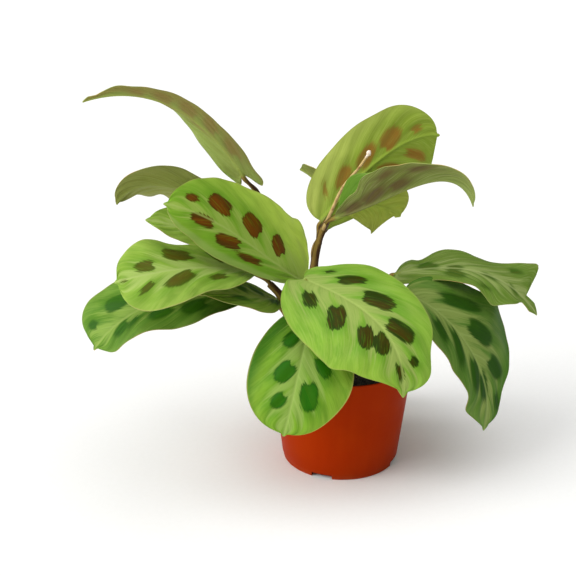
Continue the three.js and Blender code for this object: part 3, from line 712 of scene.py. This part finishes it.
def bendBlade(piece, blade):
    # lays the flat grid along the rib and writes the maps that the skins read
    table = ribTable(blade["rib"])
    length = table[1][-1]
    facings = [Vector(f).normalized() for f in blade["facing"]]
    spots = spotsOf(blade)
    veins = {sign: sideVeins(spots, sign) for sign in (-1, 1)}
    sides = {-1: blade["left"], 1: blade["right"]}

    def flatPlace(t, s):
        return s * halfWidthAt(blade, sides[-1 if s < 0 else 1], t), t * length

    flatSpots = [(*flatPlace(a, b), *flatPlace(c, d), w) for a, b, c, d, w in spots]
    mesh = piece.data
    rows, places, depths = {}, [], []
    for corner in mesh.vertices:
        x, y = round(corner.co.x, 6), round(corner.co.y, 6)
        if y not in rows:
            t = (1 - cos(pi * (y + 1) / 2)) / 2
            centre, along = alongTable(table, t)
            facing = facings[0].lerp(facings[1], t)
            facing = (facing - along * facing.dot(along)).normalized()
            widths = {sign: halfWidthAt(blade, sides[sign], t) for sign in sides}
            rows[y] = (t, centre, along, facing, along.cross(facing), widths)
        t, centre, along, facing, across, widths = rows[y]
        crowding = bladeMesh["crowding"]
        s = (1 if x > 0 else -1) * ((1 - crowding) * abs(x) + crowding * x * x)
        sign = -1 if s < 0 else 1
        side = sides[sign]
        reach = abs(s) * widths[sign]
        fold = radians(mix(*side["fold"], t))
        curl = radians(mix(*side["curl"], t) or 0.01) / side["width"]
        out = (sin(fold + curl * reach) - sin(fold)) / curl
        height, waves, phase = side["wave"]
        lift = (cos(fold) - cos(fold + curl * reach)) / curl
        lift += height * (reach / side["width"]) ** 2 * sin(2 * pi * (waves * t + phase))
        count = phaseAt(veins[sign], veinOrigin(t, s))
        # the pleats fade out at the midrib, at the margin and where the blade is narrow
        swell = easeIn(0.04, 0.3, abs(s)) * (1 - easeIn(0.75, 1, abs(s))) * easeIn(0, 8, widths[sign])
        lift -= bladeMesh["pleat"] * swell * cos(2 * pi * count)
        lift -= bladeMesh["groove"] * (1 - 0.6 * t) * exp(-(reach / bladeMesh["grooveWidth"]) ** 2)
        flat = (sign * reach, t * length)
        density = bladeMesh["ripplesPerMm"]
        ripple = noise.noise(Vector((flat[0] * density, flat[1] * density, length)))
        lift += bladeMesh["ripple"] * ripple * abs(s)
        back = side["lobe"] * easeIn(0, bladeMesh["lobeRun"], reach)
        back *= 1 - easeIn(0, bladeMesh["lobeEnd"], t)
        corner.co = (centre + across * sign * out + facing * lift - along * back) * mm
        places.append((s, t, sign * reach, count))
        depths.append(spotDepth(*flat, flatSpots))

    bladeLayer = mesh.uv_layers[0]
    bladeLayer.name = "blade"
    veinLayer = mesh.uv_layers.new(name="veins")
    for face in mesh.polygons:
        middle = sum(places[v][0] for v in face.vertices)
        for loop in face.loop_indices:
            s, t, x, count = places[mesh.loops[loop].vertex_index]
            if s == 0:  # the two halves count their side veins apart
                count = phaseAt(veins[-1 if middle < 0 else 1], veinOrigin(t, 0))
            bladeLayer.data[loop].uv = (s, t)
            veinLayer.data[loop].uv = (x, count)
    addPointValues(mesh, "spot", depths)
    return places


def thicken(piece, places):
    # a real thickness, the duller skin below, and the midrib standing out under the blade
    applyModifier(piece, "SOLIDIFY", thickness=bladeMesh["thickness"] * mm, offset=0,
                  material_offset=1, material_offset_rim=2)
    vertices = piece.data.vertices
    for i, (_, t, x, _) in enumerate(places):
        upper, under = vertices[i], vertices[len(places) + i]
        down = under.co - upper.co
        if down.length > 0.05 * mm:
            ridge = bladeMesh["ridge"] * mix(1, bladeMesh["ridgeAtTip"], t)
            ridge *= exp(-(x / mix(*bladeMesh["ridgeWidth"], t)) ** 2)
            under.co += down.normalized() * ridge * mm


def buildBlade(name, blade):
    piece = copyPiece(flatBlade, name + "_blade")
    places = bendBlade(piece, blade)
    upper, under = blade["skins"]
    for material in (upperSkins[upper], underSkins[under], marginSkin):
        piece.data.materials.append(material)
    thicken(piece, places)
    bpy.ops.object.shade_smooth_by_angle(angle=radians(bladeMesh["smoothAngle"]))
    settle(piece, name)


flatBlade = addShape(bpy.ops.mesh.primitive_grid_add, x_subdivisions=bladeMesh["columns"],
                     y_subdivisions=bladeMesh["rows"], size=2)
for name, blade in blades.items():
    buildBlade(name, blade)
bpy.data.objects.remove(flatBlade)
print("blades bent and thickened:", len(blades))

# stems: a path up from the soil with the radius at its points, and the leaf stalks, each leaving
# the stem at its first point and bending through the second to the base of its blade

stems = {
    "stem_upper_right": {
        "path": [(-14, 5, 50), (-14.4, 5, 71), (-20, 5, 104), (-19.6, 6, 144), (-16, 7, 162),
                 (-11, 8, 175)],
        "radii": [3.1, 3, 3, 2.9, 2.7, 1.9],
        "stalks": {
            "leaf_right_tall": [(-16.3, 8.5, 156), (-16.6, 13.5, 161.5)],
            "leaf_right_folded": [(-14, 7.2, 166), (-12.4, 3.5, 172)],
            "leaf_right_back": [(-14, 7.4, 166), (-10.5, 6.5, 174)],
            "leaf_rear_young": [(-19.5, 6, 140), (-19, 22, 152)],
        },
    },
    "stem_upper_left": {
        "path": [(-20, 17, 50), (-20.6, 17, 71), (-31, 23, 104), (-44, 19, 148), (-53, 8, 181),
                 (-60, 0, 197)],
        "radii": [3, 2.9, 2.7, 2.3, 1.8, 1.6],
        "stalks": {
            "leaf_left_tall": [(-57, 4, 190), (-60, 0, 197)],
            "leaf_left_back": [(-42, 20, 140), (-54, 20, 152)],
            "leaf_left_under": [(-38, 22, 124), (-44, 12, 136)],
            "leaf_rear_left": [(-31, 23, 96), (-29, 24, 118)],
        },
    },
    "stem_left": {
        "path": [(-23, -7, 50), (-23.4, -7, 71), (-29, -12, 92), (-36, -19.5, 116), (-43, -22.5, 130),
                 (-51, -24, 139.5)],
        "radii": [3, 2.9, 2.8, 2.8, 2.8, 2.4],
        "stalks": {
            "leaf_left_middle": [(-43, -22.5, 130), (-51, -23.5, 140)],
            "leaf_left_low": [(-33, -15.5, 100), (-43, -10, 116)],
            "leaf_left_tucked": [(-30, -13, 88), (-36, -5, 108)],
        },
    },
    "stem_front": {
        "path": [(-7, -13, 50), (-7.3, -13.3, 71), (-12, -18, 90), (-18, -24, 112), (-24, -28, 130)],
        "radii": [3, 2.9, 2.7, 2.4, 1.7],
        "stalks": {
            "leaf_front": [(-22, -27, 124), (-34, -31, 141)],
            "leaf_front_low": [(-13, -20, 92), (-16, -24, 122)],
            "leaf_left_big": [(-14, -21, 98), (-17, -9, 116)],
        },
    },
    "stem_right": {
        "path": [(15, -5, 50), (15.3, -5, 71), (21, -4, 94), (29, -1, 115), (33.5, 2.2, 128)],
        "radii": [2.9, 2.8, 2.6, 2.3, 1.7],
        "stalks": {
            "leaf_right_high": [(32, 0.8, 123), (34.8, 3, 131.5)],
            "leaf_right_low": [(22, -3.6, 96), (28, -14, 122)],
        },
    },
    "stem_rear": {
        "path": [(5, 15, 50), (4.8, 15.3, 71), (2, 19, 86), (-3, 23, 108)],
        "radii": [2.8, 2.7, 2.5, 1.8],
        "stalks": {
            "leaf_rear_right": [(2, 20, 84), (-1, 21, 110)],
            "leaf_rear_middle": [(-2, 22.4, 104), (-11, 20, 120)],
        },
    },
}
stalkShape = {
    "radius": 1.25, "sheath": 2.05,              # the sheath thickens the stalk where it starts
    "jointLength": 7, "jointSwell": 0.35,        # the swollen joint below the blade
    "jointBefore": 4,                            # and how far it lies before the drawn end
    "drawnEnd": 5, "endShare": 0.65,             # the last stretch thins out under the midrib
    "greenFrom": 14, "greenTo": 4,               # mm from the end, where the stalk turns green
    "tuck": 3.5,                                 # how far behind the blade's base the stalk bends
    "knotSwell": 0.35, "knotLength": 2.4,        # the knots of the stem where stalks leave it
    "lumps": 0.12,
    "stemTone": 0.08, "brownTone": 0.12,         # 0 is red-brown and 1 green
}
tubeShape = {
    "around": 18, "along": 64,
    "seamWay": (-0.5, -1, 0.2),                  # the seam lies on the left towards the viewer
    "pathSteps": 40,                             # from one point of a path to the next
    "endRound": 1.2,                             # the ends draw in over this length
    "weldWithin": 0.00001,                       # metres; closes the seam and both ends
}


def smoothPath(points):
    # centripetal spline through the points, as a table of even small steps
    points = [Vector(p) for p in points]
    points = [points[0] * 2 - points[1]] + points + [points[-1] * 2 - points[-2]]
    curve = []
    for a, b, c, d in zip(points, points[1:], points[2:], points[3:]):
        gaps = [max((q - p).length ** 0.5, 1e-4) for p, q in ((a, b), (b, c), (c, d))]
        first = ((b - a) / gaps[0] - (c - a) / (gaps[0] + gaps[1]) + (c - b) / gaps[1]) * gaps[1]
        last = ((c - b) / gaps[1] - (d - b) / (gaps[1] + gaps[2]) + (d - c) / gaps[2]) * gaps[1]
        for k in range(tubeShape["pathSteps"]):
            u = k / tubeShape["pathSteps"]
            curve.append(b + first * u + (c * 3 - b * 3 - first * 2 - last) * u * u
                         + (b * 2 - c * 2 + first + last) * u * u * u)
    return measured(curve + [points[-2]])


def rollTube(name, table, radiusAt, toneAt):
    # rolls the flat sleeve round the path
    piece = copyPiece(flatSleeve, name)
    mesh = piece.data
    length = table[1][-1]
    levels = sorted({round(v.co.y, 6) for v in mesh.vertices})
    frames, sideways = {}, Vector(tubeShape["seamWay"])
    for y in levels:
        t = (y + 1) / 2
        centre, along = alongTable(table, t)
        sideways = (sideways - along * sideways.dot(along)).normalized()
        frames[y] = (t, centre, sideways.copy(), along.cross(sideways))
    tones = []
    for v in mesh.vertices:
        t, centre, first, second = frames[round(v.co.y, 6)]
        angle = pi * (v.co.x + 1)
        end = min(t, 1 - t) * length
        close = 0 if end < 1e-6 else min(1, (1 - (1 - min(end / tubeShape["endRound"], 1)) ** 2) ** 0.5)
        radius = radiusAt(t, t * length, angle) * close
        v.co = (centre + (first * cos(angle) + second * sin(angle)) * radius) * mm
        tones.append(toneAt(t * length))
    layer = mesh.uv_layers[0]
    layer.name = "tube"
    for loop in layer.data:
        loop.uv = (loop.uv[0], loop.uv[1] * length)
    addPointValues(mesh, "tone", tones)
    selectOnly(piece)
    bpy.ops.object.mode_set(mode="EDIT")
    bpy.ops.mesh.select_all(action="SELECT")
    bpy.ops.mesh.remove_doubles(threshold=tubeShape["weldWithin"])
    bpy.ops.object.mode_set(mode="OBJECT")
    bpy.ops.object.shade_smooth()
    return piece


def stemSkin():
    # green stem tissue under a red-brown skin; the leaf stalks turn olive towards the blade and
    # their sheaths have a dry golden edge; satin, faintly ribbed lengthways about 0.5 mm apart
    material, tree, shader, place = startMaterial("stemSkin", {
        "Roughness": 0.5, "Specular IOR Level": 0.06})
    tube = addNode(tree, "UVMap", {}, uv_map="tube")
    ribs = addNode(tree, "Mapping", {"Vector": tube, "Scale": (26, 0.12, 1)})
    streak = addNode(tree, "TexNoise", {
        "Vector": ribs, "Scale": 1, "Detail": 3, "Roughness": 0.65}, noise_dimensions="2D")
    mottle = addNode(tree, "TexNoise", {"Vector": place, "Scale": 160, "Detail": 3})
    tone = addNode(tree, "Attribute", {}, attribute_name="tone").outputs["Fac"]
    brown = addNode(tree, "Mix", {"Factor": streak, 6: "2A120E", 7: "56342A"}, data_type="RGBA")
    olive = addNode(tree, "Mix", {"Factor": streak, 6: "6E6420", 7: "94883C"}, data_type="RGBA")
    edge = addNode(tree, "Math", {0: mottle, 1: 0.7, 2: -0.35}, operation="MULTIPLY_ADD")
    share = addNode(tree, "Math", {0: edge, 1: tone}, operation="ADD", use_clamp=True)
    skin = addNode(tree, "Mix", {"Factor": share, 6: brown, 7: olive}, data_type="RGBA")
    around = addNode(tree, "SeparateXYZ", {0: tube})
    strip = addNode(tree, "Math", {0: around, 1: 0.5}, operation="PINGPONG")
    frayed = addNode(tree, "Math", {0: streak, 1: 0.2, 2: strip}, operation="MULTIPLY_ADD")
    colour = layCoats(tree, skin, [
        ("9A7E40", frayed, 0.23, 0.15, 0.9),
        ("8A9C48", tone, 0.65, 1, 0.85)])
    relief = addNode(tree, "Bump", {"Height": streak, "Distance": 0.00025, "Strength": 0.7})
    setInputs(tree, shader, {"Base Color": colour, "Normal": relief})
    return material


stemTissue = stemSkin()


def buildStem(name, stem):
    main = smoothPath(stem["path"])
    radii = stem["radii"]
    joints = [Vector(points[0]) for points in stem["stalks"].values()]

    def mainRadius(t, distance, angle):
        place = t * (len(radii) - 1)
        low = limit(int(place), 0, len(radii) - 2)
        centre, _ = alongTable(main, t)
        knot = sum(exp(-((centre - joint).length / stalkShape["knotLength"]) ** 2) for joint in joints)
        lump = noise.noise(Vector((angle, distance * 0.2, 3)))
        return (mix(radii[low], radii[low + 1], place - low)
                + stalkShape["knotSwell"] * min(knot, 1) + stalkShape["lumps"] * lump)

    pieces = [rollTube(name + "_tissue", main, mainRadius, lambda distance: stalkShape["stemTone"])]
    for leaf, points in stem["stalks"].items():
        blade = blades[leaf]
        base, along = alongTable(ribTable(blade["rib"]), 0)
        facing = Vector(blade["facing"][0])
        facing = (facing - along * facing.dot(along)).normalized()
        tuck = blade.get("tuck", stalkShape["tuck"])
        seat = ((-tuck, 1.4), (0.8, 1.1), (6, 0.9))  # mm along and under the base of the blade
        path = smoothPath([*points, *(base + along * run - facing * drop for run, drop in seat)])
        total = path[1][-1]

        def stalkRadius(t, distance, angle, total=total):
            radius = mix(stalkShape["sheath"], stalkShape["radius"], easeIn(0.15, 0.55, t))
            away = total - stalkShape["drawnEnd"] - distance - stalkShape["jointBefore"]
            radius += stalkShape["jointSwell"] * exp(-(away / stalkShape["jointLength"] * 2) ** 2)
            drawn = easeIn(total - stalkShape["drawnEnd"], total, distance)
            return radius * (1 - stalkShape["endShare"] * drawn)

        def stalkTone(distance, total=total):
            young = easeIn(total - stalkShape["greenFrom"], total - stalkShape["greenTo"], distance)
            return mix(stalkShape["brownTone"], 1, young)

        pieces.append(rollTube(leaf + "_stalk", path, stalkRadius, stalkTone))
    piece = joinPieces(pieces, name + "_tissue")
    piece.data.materials.append(stemTissue)
    settle(piece, name)


flatSleeve = addShape(bpy.ops.mesh.primitive_grid_add, x_subdivisions=tubeShape["around"],
                      y_subdivisions=tubeShape["along"], size=2)
for name, stem in stems.items():
    buildStem(name, stem)
print("stems and leaf stalks grown:", len(stems))

# dried flower stalk with a small bract and a withered bud at its tip

driedStalk = {
    "path": [(-14.6, 2.2, 168), (-9, 1.6, 181), (-1, 8, 196.5), (11, 11, 211), (16.5, 11, 219.8)],
    "radii": (1.25, 0.85), "lumps": 0.15,
    "bract": [(-2, 7.4, 195), (0.5, 8.4, 198.5), (4.5, 9.4, 201)], "bractRadius": 0.9,
    "budRadius": 1.7, "budShape": (0.95, 0.95, 1.12), "budLumps": 0.28,
    "bleachedFrom": 215.5, "bleachedTo": 218.5,
}


def strawSkin():
    # dry straw-coloured fibre, matte, with pinkish brown stains and a bleached tip
    material, tree, shader, place = startMaterial("driedStalkStraw", {"Roughness": 0.8})
    height = addNode(tree, "SeparateXYZ", {0: place}).outputs[2]
    stains = addNode(tree, "TexNoise", {"Vector": place, "Scale": 260, "Detail": 4})
    straw = layCoats(tree, "C6AA6E", [("98703F", stains, 0.5, 0.7, 1)], "LINEAR")
    colour = layCoats(tree, straw, [
        ("FAE6D6", height, driedStalk["bleachedFrom"] * mm, driedStalk["bleachedTo"] * mm, 1)])
    relief = addNode(tree, "Bump", {"Height": stains, "Distance": 0.0003, "Strength": 0.8})
    setInputs(tree, shader, {"Base Color": colour, "Normal": relief})
    return material


def buildDriedStalk():
    def stalkRadius(t, distance, angle):
        lump = noise.noise(Vector((cos(angle), sin(angle), distance * 0.35)))
        return mix(*driedStalk["radii"], t) + driedStalk["lumps"] * lump

    def bractRadius(t, distance, angle):
        return driedStalk["bractRadius"] * sin(pi * limit(t, 0.06, 0.97)) ** 0.6 + 0.1

    stalk = rollTube("dried_flower_stalk_fibre", smoothPath(driedStalk["path"]), stalkRadius,
                     lambda distance: 0)
    bract = rollTube("stalk_bract", smoothPath(driedStalk["bract"]), bractRadius, lambda distance: 0)
    bud = addShape(bpy.ops.mesh.primitive_ico_sphere_add, subdivisions=3,
                   radius=driedStalk["budRadius"] * mm)
    tip = Vector(driedStalk["path"][-1]) * mm
    for v in bud.data.vertices:
        lump = 1 + driedStalk["budLumps"] * noise.noise(v.co * 900)  # about 1 mm across
        v.co = Vector(a * b for a, b in zip(v.co, driedStalk["budShape"])) * lump + tip
    selectOnly(bud)
    bpy.ops.object.shade_smooth()
    piece = joinPieces([stalk, bract, bud], "dried_flower_stalk_fibre")
    piece.data.materials.append(strawSkin())
    settle(piece, "dried_flower_stalk")


buildDriedStalk()
bpy.data.objects.remove(flatSleeve)
print("dried flower stalk made")

# pot: a thin injection-moulded plastic nursery pot with a low foot and four edge notches

potShape = {
    # radius and level, up the outside from the foot and down the inside to the floor
    "profile": [(40.6, 0), (41.1, 0.5), (41.4, 3.5), (42.05, 4.4), (46.2, 38), (48.25, 55.4),
                (48.6, 56.1), (50.85, 75.0), (51.0, 75.5), (50.75, 75.95), (50.2, 76.0),
                (49.75, 75.7), (49.55, 75.1), (44.9, 38), (40.4, 1.6)],
    "segments": 144, "smoothAngle": 35, "baseRadius": 41.5,
    "firstNotchTurn": 21, "notchCount": 4, "notchWidth": 15, "notchHeight": 3.3, "notchReach": 5,
    "notchRound": 0.8,
}


def buildPot():
    radius, level = potShape["profile"][0]
    pot = addShape(bpy.ops.mesh.primitive_circle_add, vertices=potShape["segments"],
                   radius=radius * mm, location=(0, 0, level * mm), fill_type="NGON")
    pot.name = "pot_moulding"
    bpy.ops.object.transform_apply(location=True)
    openShape()
    for nextRadius, nextLevel in potShape["profile"][1:]:
        bpy.ops.mesh.extrude_region_move(
            TRANSFORM_OT_translate={"value": (0, 0, (nextLevel - level) * mm)})
        grow = nextRadius / radius
        bpy.ops.transform.resize(value=(grow, grow, 1), center_override=(0, 0, 0))
        radius, level = nextRadius, nextLevel
    closeShape()

    cutters = []
    reach = potShape["baseRadius"] - potShape["notchReach"]
    size = Vector((2 * potShape["notchReach"] + 2, potShape["notchWidth"], 2 * potShape["notchHeight"]))
    for i in range(potShape["notchCount"]):
        turn = radians(-90 - potShape["firstNotchTurn"] + i * 360 / potShape["notchCount"])
        cutter = addShape(bpy.ops.mesh.primitive_cube_add, size=1)
        cutter.data.transform(Matrix.Rotation(turn, 4, "Z")
                              @ Matrix.Translation(Vector((reach + size.x / 2, 0, 0)) * mm)
                              @ Matrix.Diagonal((*(size * mm), 1)))
        applyModifier(cutter, "BEVEL", width=potShape["notchRound"] * mm, segments=3)
        cutters.append(cutter)
    cutter = joinPieces(cutters, "notch_cutter")
    applyModifier(pot, "BOOLEAN", operation="DIFFERENCE", object=cutter)
    bpy.data.objects.remove(cutter)
    bpy.ops.object.shade_smooth_by_angle(angle=radians(potShape["smoothAngle"]))
    return pot


def potPlastic():
    # polypropylene, injection moulded: terracotta orange, satin, IOR 1.49, with faint flow streaks
    # 7 mm wide running up from the gate in the floor, light scuffs and a little dust on the foot
    material, tree, shader, place = startMaterial("potPolypropylene", {
        "IOR": 1.49, "Specular IOR Level": 0.02})
    flow = addNode(tree, "Mapping", {"Vector": place, "Scale": (1, 1, 0.08)})
    streaks = addNode(tree, "TexNoise", {
        "Vector": flow, "Scale": 150, "Detail": 3, "Roughness": 0.6})
    cloud = addNode(tree, "TexNoise", {"Vector": place, "Scale": 45, "Detail": 3})
    orange = addNode(tree, "Mix", {"Factor": streaks, 6: "982800", 7: "A42E00"}, data_type="RGBA")
    worn = layCoats(tree, orange, [("A63602", cloud, 0.45, 0.75, 0.35)], "LINEAR")
    height = addNode(tree, "SeparateXYZ", {0: place}).outputs[2]
    lowPart = addNode(tree, "MapRange", {
        "Value": height, "From Min": 0.006, "From Max": 0, "To Max": 0.35},
        interpolation_type="SMOOTHSTEP")
    dusty = addNode(tree, "Math", {0: lowPart, 1: cloud}, operation="MULTIPLY")
    dust = addNode(tree, "Mix", {"Factor": dusty, 6: worn, 7: "8A5A3A"}, data_type="RGBA")
    gloss = addNode(tree, "MapRange", {
        "Value": cloud, "From Min": 0.3, "From Max": 0.7, "To Min": 0.36, "To Max": 0.5})
    grain = addNode(tree, "TexNoise", {"Vector": place, "Scale": 900, "Detail": 2})
    relief = addNode(tree, "Bump", {"Height": grain, "Distance": 0.00006, "Strength": 0.5})
    setInputs(tree, shader, {"Base Color": dust, "Roughness": gloss, "Normal": relief})
    return material


pot = buildPot()
pot.data.materials.append(potPlastic())
settle(pot, "pot")
print("pot moulded")

# soil: dark peat mix with a rough top, crumbs and a few lighter bark bits

soilShape = {
    "top": 68, "topRadius": 48.6, "bottom": 1.95, "bottomRadius": 39.6, "sideDepth": 3,
    "cells": 90, "dome": 1.6, "roughness": 0.9, "grain": 0.75, "smoothAngle": 50,
    "rimRadius": 51,
    "crumbs": 420, "crumbSpread": 47, "crumbShape": (1.3, 1, 0.7), "crumbLumps": (0.75, 1.2),
    "crumbRise": 0.25, "crumbSizes": (0.5, 1.5), "barkEvery": 12, "barkSizes": (1.6, 2.6), "seed": 7,
}


def soilLevelAt(x, y):
    radius = min(hypot(x, y) / soilShape["rimRadius"], 1)
    lumps = sin(0.31 * x + 1.3) * cos(0.27 * y) + 0.6 * sin(0.55 * y + 0.38 * x)
    rough = soilShape["dome"] * (1 - radius * radius) + soilShape["roughness"] * lumps * (1 - radius ** 6)
    grain = noise.fractal(Vector((x * 0.35, y * 0.35, 1.7)), 0.8, 2.1, 4)
    return soilShape["top"] + rough + soilShape["grain"] * grain


def buildSoil():
    cells = soilShape["cells"]
    soil = addShape(bpy.ops.mesh.primitive_grid_add, x_subdivisions=cells, y_subdivisions=cells, size=2)
    soil.name = "soil_peat"
    for v in soil.data.vertices:  # square to disc
        x, y = v.co.x, v.co.y
        flat = Vector((x * (1 - y * y / 2) ** 0.5, y * (1 - x * x / 2) ** 0.5, 0)) * soilShape["topRadius"]
        v.co = Vector((flat.x, flat.y, soilLevelAt(flat.x, flat.y))) * mm
    openShape()
    under = soilShape["sideDepth"]
    for drop in (under, soilShape["top"] - soilShape["bottom"] - under):
        bpy.ops.mesh.extrude_region_move(TRANSFORM_OT_translate={"value": (0, 0, -drop * mm)})
    shrink = soilShape["bottomRadius"] / soilShape["topRadius"]
    bpy.ops.transform.resize(value=(shrink, shrink, 0), center_override=(0, 0, soilShape["bottom"] * mm))
    closeShape()
    bpy.ops.object.shade_smooth_by_angle(angle=radians(soilShape["smoothAngle"]))
    return soil


def buildCrumbs():
    draw = random.Random(soilShape["seed"])
    seedCrumb = addShape(bpy.ops.mesh.primitive_ico_sphere_add, subdivisions=1, radius=mm)
    for v in seedCrumb.data.vertices:
        v.co *= draw.uniform(*soilShape["crumbLumps"])
    crumbs = []
    for i in range(soilShape["crumbs"]):
        angle, share = draw.uniform(0, 2 * pi), draw.random() ** 0.5
        x = cos(angle) * share * soilShape["crumbSpread"]
        y = sin(angle) * share * soilShape["crumbSpread"]
        size = draw.uniform(*soilShape["crumbSizes" if i % soilShape["barkEvery"] else "barkSizes"])
        turn = Matrix.Rotation(draw.uniform(0, pi), 4, Vector((draw.random(), draw.random(), 0.4)))
        crumb = copyPiece(seedCrumb, f"crumb{i}")
        level = soilLevelAt(x, y) + size * soilShape["crumbRise"]
        crumb.data.transform(Matrix.Translation(Vector((x, y, level)) * mm)
                             @ turn @ Matrix.Diagonal((*(size * a for a in soilShape["crumbShape"]), 1)))
        crumbs.append(crumb)
    bpy.data.objects.remove(seedCrumb)
    return joinPieces(crumbs, "soil_crumbs")


def peat():
    # moist peat and composted bark: nearly black, matte, with fibre flecks about 1.5 mm across
    material, tree, shader, place = startMaterial("potSoilPeat", {"Roughness": 0.95})
    clods = addNode(tree, "TexNoise", {"Vector": place, "Scale": 420, "Detail": 6, "Roughness": 0.7})
    flecks = addNode(tree, "TexVoronoi", {"Vector": place, "Scale": 620}).outputs["Color"]
    dark = addNode(tree, "Mix", {"Factor": clods, 6: "0D0906", 7: "2A1F17"}, data_type="RGBA")
    pick = addNode(tree, "SeparateColor", {0: flecks})
    colour = layCoats(tree, dark, [("5A4A3C", pick, 0.93, 0.97, 0.8)], "LINEAR")
    relief = addNode(tree, "Bump", {"Height": clods, "Distance": 0.0015, "Strength": 0.9})
    setInputs(tree, shader, {"Base Color": colour, "Normal": relief})
    return material


peatMaterial = peat()
soil = buildSoil()
soil.data.materials.append(peatMaterial)
settle(soil, "soil")
crumbs = buildCrumbs()
crumbs.data.materials.append(peatMaterial)
settle(crumbs, None)
print("soil filled, crumbs:", soilShape["crumbs"])

# studio floor


def paperFloor():
    # matt white background paper, with a faint fibre tone too fine to see as a pattern
    material, tree, shader, place = startMaterial("backgroundPaper", {"Roughness": 0.9})
    fibre = addNode(tree, "TexNoise", {"Vector": place, "Scale": 300, "Detail": 2})
    colour = addNode(tree, "Mix", {"Factor": fibre, 6: "F4F4F2", 7: "F8F8F7"}, data_type="RGBA")
    setInputs(tree, shader, {"Base Color": colour})
    return material


floor = addShape(bpy.ops.mesh.primitive_plane_add, size=60)
floor.name = "floor"
floor.data.materials.append(paperFloor())
